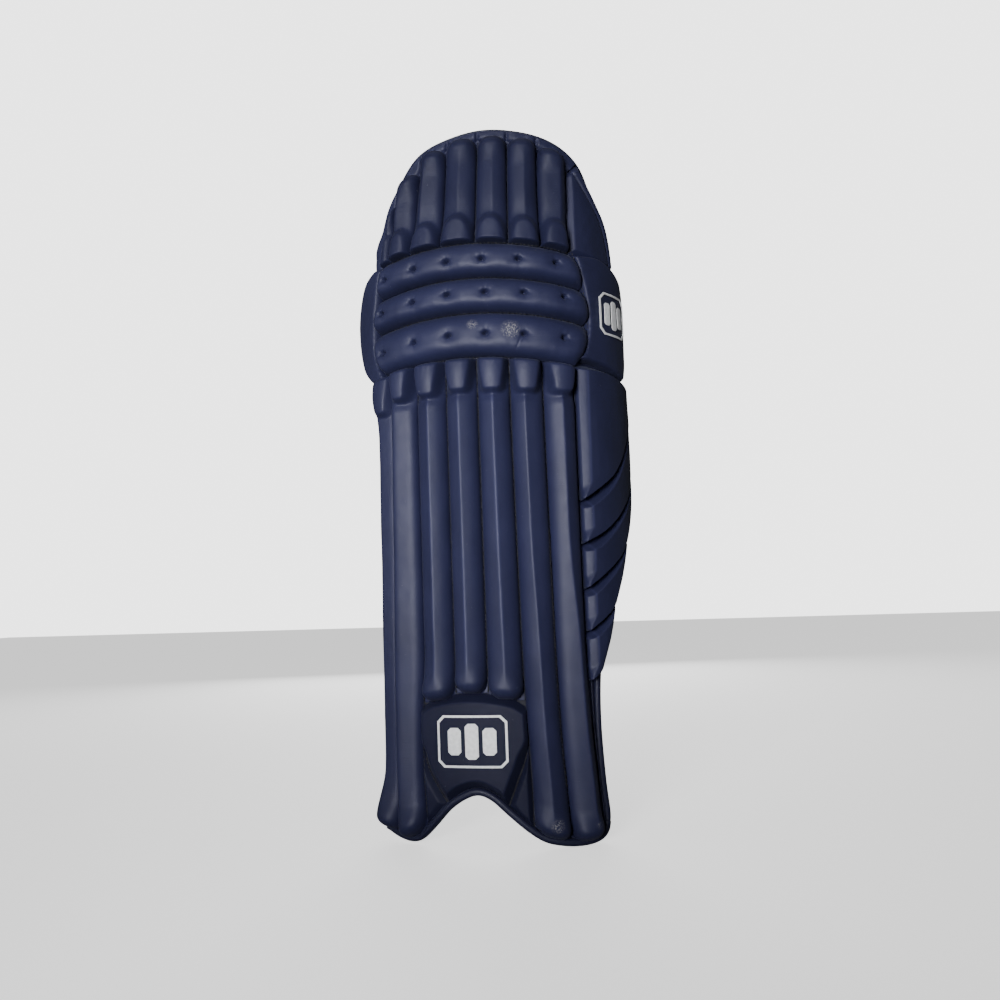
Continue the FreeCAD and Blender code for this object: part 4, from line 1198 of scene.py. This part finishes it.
def knee_and_thigh_linings():
    """The three knee cups and the thigh's lining."""
    cups = [("lower", "low", "lower_roll"), ("middle", "lower_roll", "upper_roll"),
            ("upper", "upper_roll", "high")]
    for name, low, high in cups:
        curves = between(along_seam(low, -104, 118, 9, 0.6), along_seam(high, -104, 118, 9, -0.6))
        bolster(f"knee_cup_{name}_cover", f"knee_{name}", f"knee_cup_{name}", curves, -22, -8.2, 204,
                upright=(-55, 7, 69), cols=160, rows=50)
    bottom = along_seam("high", -92, 112, 9, 1.4)
    top = [(-60, 700), (-30, 734), (0, 746), (41, 751), (75, 748), (98, 738)]
    left = [bottom[0], (-84, 665), (-60, 700)]
    right = [bottom[-1], (112, 690), (98, 738)]
    bolster("thigh_lining_cover", "thigh", "thigh_lining", (bottom, top, left, right), -22, -6.3, 205,
            upright=(-45, 10, 65), cols=160, rows=90)


# ---------------------------------------------------------------- straps

STRAP_CENTRE = (PLAN_X, PLAN_Y - 138.0)
BAND_RADIUS = 109.25
RING_RADIUS = 112.5


def hoop(radius, angles):
    """Plan points on a circle around the straps' axis."""
    return around(STRAP_CENTRE, radius, angles)


def around(centre, radius, angles):
    """Plan points on a circle."""
    angles = np.radians(np.asarray(angles, float))
    return np.stack([centre[0] + radius * np.cos(angles), centre[1] + radius * np.sin(angles)], -1)


def ribbon(plan, level, width, thickness, spacing=1.6):
    """Webbing that stands on edge along a plan path: its vertices and faces."""
    distance = travelled(plan)
    count = max(4, int(distance[-1] / spacing))
    stops = np.linspace(0, distance[-1], count)
    line = read_at(stops, distance, plan)
    tangent = unit(np.gradient(line, axis=0))
    normal = np.stack([tangent[:, 1], -tangent[:, 0]], -1)
    half_w, half_t = width / 2, thickness / 2
    rows = np.linspace(-1, 1, 13)
    bead = 1 - 0.28 * np.exp(-((np.abs(rows) - 0.80) / 0.07) ** 2)
    bead = bead * np.where(np.abs(rows) > 0.99, 0.45, 1)
    front = np.stack([half_t * bead, half_w * rows], -1)
    section = np.vstack([front, front[::-1] * (-1, 1)])
    sag = 0.5 * np.sin(stops / 37.0)
    x = line[:, None, 0] + normal[:, None, 0] * section[None, :, 0]
    y = line[:, None, 1] + normal[:, None, 1] * section[None, :, 0]
    z = LIFT + level + section[None, :, 1] + sag[:, None]
    return np.stack([x, y, z], -1).reshape(-1, 3), tube_faces(count, len(section))


def ribbons(name, body, slot, nodes, parts):
    """Several ribbons as one piece."""
    piece = new_mesh(name, *merged(ribbon(*part) for part in parts))
    return finish_piece(piece, body, {"webbing": WEBBING, "loop_tape": TAPE}[slot], nodes)


def tab(side, edge_height):
    """Plan points of a strap's end where it is sewn into the pad's edge."""
    heights = np.array([-edge_height, -14, -21])
    return surface(side * 119.7, 0, heights)[:, :2]


def straps():
    """Two calf straps and one knee strap, each through a ring and back onto itself."""
    sets = [("calf_strap_upper", 400, 38, 6.4, "shin", "tail_upper", "calf_strap_tail_upper"),
            ("calf_strap_lower", 230, 38, 6.4, "shin", "tail_lower", "calf_strap_tail_lower"),
            ("knee_strap", 574, 32, 8.4, "knee_middle", "tail_knee", "knee_strap_tail")]
    front_bar, rear_bar = 202.5, 196.2
    front, rear = hoop(RING_RADIUS, [front_bar])[0], hoop(RING_RADIUS, [rear_bar])[0]
    keepers, patches = {"shin": [], "knee_middle": []}, {"shin": [], "knee_middle": []}
    for name, level, width, edge, body, tail_body, tail_node in sets:
        band = np.vstack([tab(1, edge), hoop(BAND_RADIUS, np.linspace(-27.5, 195.4, 240))])
        ribbons(f"{name}_webbing", body, "webbing", [name], [(band, level, width, 2.4)])
        tail = np.vstack([hoop(RING_RADIUS + 3.2, np.linspace(141, rear_bar, 60)),
                          around(rear, 3.2, np.linspace(200, rear_bar + 66, 14))])
        hook = hoop(RING_RADIUS + 0.95, np.linspace(149, 186, 40))
        ribbons(f"{name}_tail_webbing", tail_body, "webbing", [tail_node], [(tail, level, width, 2.4)])
        ribbons(f"{name}_tail_hook", tail_body, "loop_tape", [], [(hook, level, width * 0.9, 1.6)])
        keeper = np.vstack([tab(-1, edge), hoop(RING_RADIUS, np.linspace(208, 204.4, 6)),
                            around(front, 3.0, front_bar - 90 + np.linspace(60, -290, 30))])
        keepers[body].append((keeper, level, width, 2.2, 0.8))
        loops = hoop(BAND_RADIUS + 2.0, np.linspace(100.5, 186.8, 90))
        patches[body].append((loops, level, width * 0.94, 1.5))
    ribbons("calf_keepers_webbing", "shin", "webbing", ["calf_strap_keepers"], keepers["shin"])
    ribbons("knee_keeper_webbing", "knee_middle", "webbing", ["knee_strap_keeper"], keepers["knee_middle"])
    ribbons("calf_loop_tape", "shin", "loop_tape", ["calf_loop_patches"], patches["shin"])
    ribbons("knee_loop_tape", "knee_middle", "loop_tape", ["knee_loop_patch"], patches["knee_middle"])


def canes():
    """The round canes that stiffen the bars, out of sight inside the stuffing."""
    ends = [(52, 450), (46, 452), (185, 452), (190, 452), (185, 452), (46, 452), (40, 450)]
    radius = 3.0
    rods = []
    for number, (low, high) in enumerate(ends):
        level = np.linspace(low, high, 24)
        place = (bar_seam(number, level) + bar_seam(number + 1, level)) / 2
        rods.append(tube(surface(place, level, 1.2 if number == 0 else 4.8), radius))
    finish_piece(new_mesh("shin_cane_rods", *merged(rods)), "shin", CANE, ["shin_canes"])


def carried_over():
    """Better materials for the CAD nodes that keep their shape."""
    finishes = (
        (BOARD_COVER, ("wing_backing", "knee_backing_lower", "knee_backing_middle", "knee_backing_upper")),
        (MOULDED, ("calf_strap_rings", "knee_strap_ring")),
    )
    for material, names in finishes:
        for name in names:
            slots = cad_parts[name].data.materials
            slots.clear()
            slots.append(material)


# ---------------------------------------------------------------- scene

def studio_world():
    """White to the camera, and a faint even light to everything else."""
    world = bpy.data.worlds.new("studio")
    bpy.context.scene.world = world
    world.use_nodes = True
    tree = world.node_tree
    white = (1, 1, 1)
    background = tree.nodes["Background"]
    set_inputs(tree, background, {"Color": white, "Strength": 0.075})
    seen = new_node(tree, "Background", {"Color": white, "Strength": 3.2})
    path = new_node(tree, "LightPath", {})
    inputs = {0: path.outputs["Is Camera Ray"], 1: background.outputs[0], 2: seen.outputs[0]}
    chosen = new_node(tree, "MixShader", inputs)
    set_inputs(tree, tree.nodes["World Output"], {"Surface": chosen.outputs[0]})


def place_camera():
    """The camera, low and a little to the outer side of the pad's middle."""
    azimuth, elevation, roll = math.radians(15.14), math.radians(-5.03), math.radians(-2.106)
    distance = 1.1
    target = Vector((PLAN_X + 27.2, PLAN_Y - 200, LIFT + 363.6)) / 1000
    back = Vector((math.sin(azimuth) * math.cos(elevation), -math.cos(azimuth) * math.cos(elevation),
                   math.sin(elevation)))
    right = (-back).cross(Vector((0, 0, 1))).normalized()
    up = right.cross(-back)
    turned_right = right * math.cos(roll) + up * math.sin(roll)
    turned_up = up * math.cos(roll) - right * math.sin(roll)
    camera = bpy.data.objects.new("camera", bpy.data.cameras.new("camera"))
    camera.data.lens = 35.716
    camera.data.sensor_width = 36
    camera.data.clip_start = 0.01
    turn = Matrix((turned_right, turned_up, back)).transposed().to_4x4()
    camera.matrix_world = Matrix.Translation(target + back * distance) @ turn
    bpy.context.collection.objects.link(camera)
    bpy.context.scene.camera = camera


def place_lamps():
    """A narrow key beam from the front, two fills, a top lamp and a strong lamp behind."""
    aim = Vector((0, 0, 0.47))
    lamps = [
        ("key", (-0.08, -1.65, 0.50), 0.6, 5.7, 50),
        ("fill_left", (-1.6, -0.9, 0.7), 1.0, 3, 180),
        ("fill_right", (1.6, -0.9, 0.7), 1.0, 1.6, 180),
        ("top", (0.0, -0.3, 2.2), 1.2, 3, 180),
        ("back", (-0.6, 1.9, 1.0), 1.6, 30, 180),
    ]
    for name, position, width, power, spread in lamps:
        light = bpy.data.lights.new(name, "AREA")
        light.spread = math.radians(spread)
        light.size = width
        light.energy = power
        lamp = bpy.data.objects.new(name, light)
        lamp.location = position
        lamp.rotation_euler = (aim - Vector(position)).to_track_quat("-Z", "Y").to_euler()
        bpy.context.collection.objects.link(lamp)


def floor():
    """Plain pale floor under the pad, which throws no light on it."""
    size = 6000
    level = 1000 * cad_box[0].z - 0.2
    corners = [(-size, -size, level), (size, -size, level), (size, size, level), (-size, size, level)]
    piece = new_mesh("floor", corners, [[0, 1, 2, 3]], smooth=False)
    material = bpy.data.materials.new("pale_floor")
    material.use_nodes = True
    tree = material.node_tree
    set_inputs(tree, tree.nodes["Principled BSDF"], {
        "Base Color": (0.9, 0.9, 0.9),
        "Roughness": 0.8,
        "Emission Color": (1, 1, 1),
        "Emission Strength": 1.0,
    })
    piece.data.materials.append(material)
    piece.visible_diffuse = False
    piece.visible_glossy = False


shin_bars()
knee_rolls()
thigh_bars()
thigh_rim()
side_panel()
thigh_board()
thigh_edge()
badge_panel()
gussets()
emblem("instep_badge_print", "shin", "instep_emblem", (1.2, 108), 36.5, 27, SHIELD_HEIGHT)
foot_edges()
wing_segments()
outer_flap()
inner_flap()
seam_fabric()
board()
flap_skirts()
shin_stitches()
knee_stitches()
shin_linings()
knee_and_thigh_linings()
straps()
canes()
carried_over()
studio_world()
place_camera()
place_lamps()
floor()
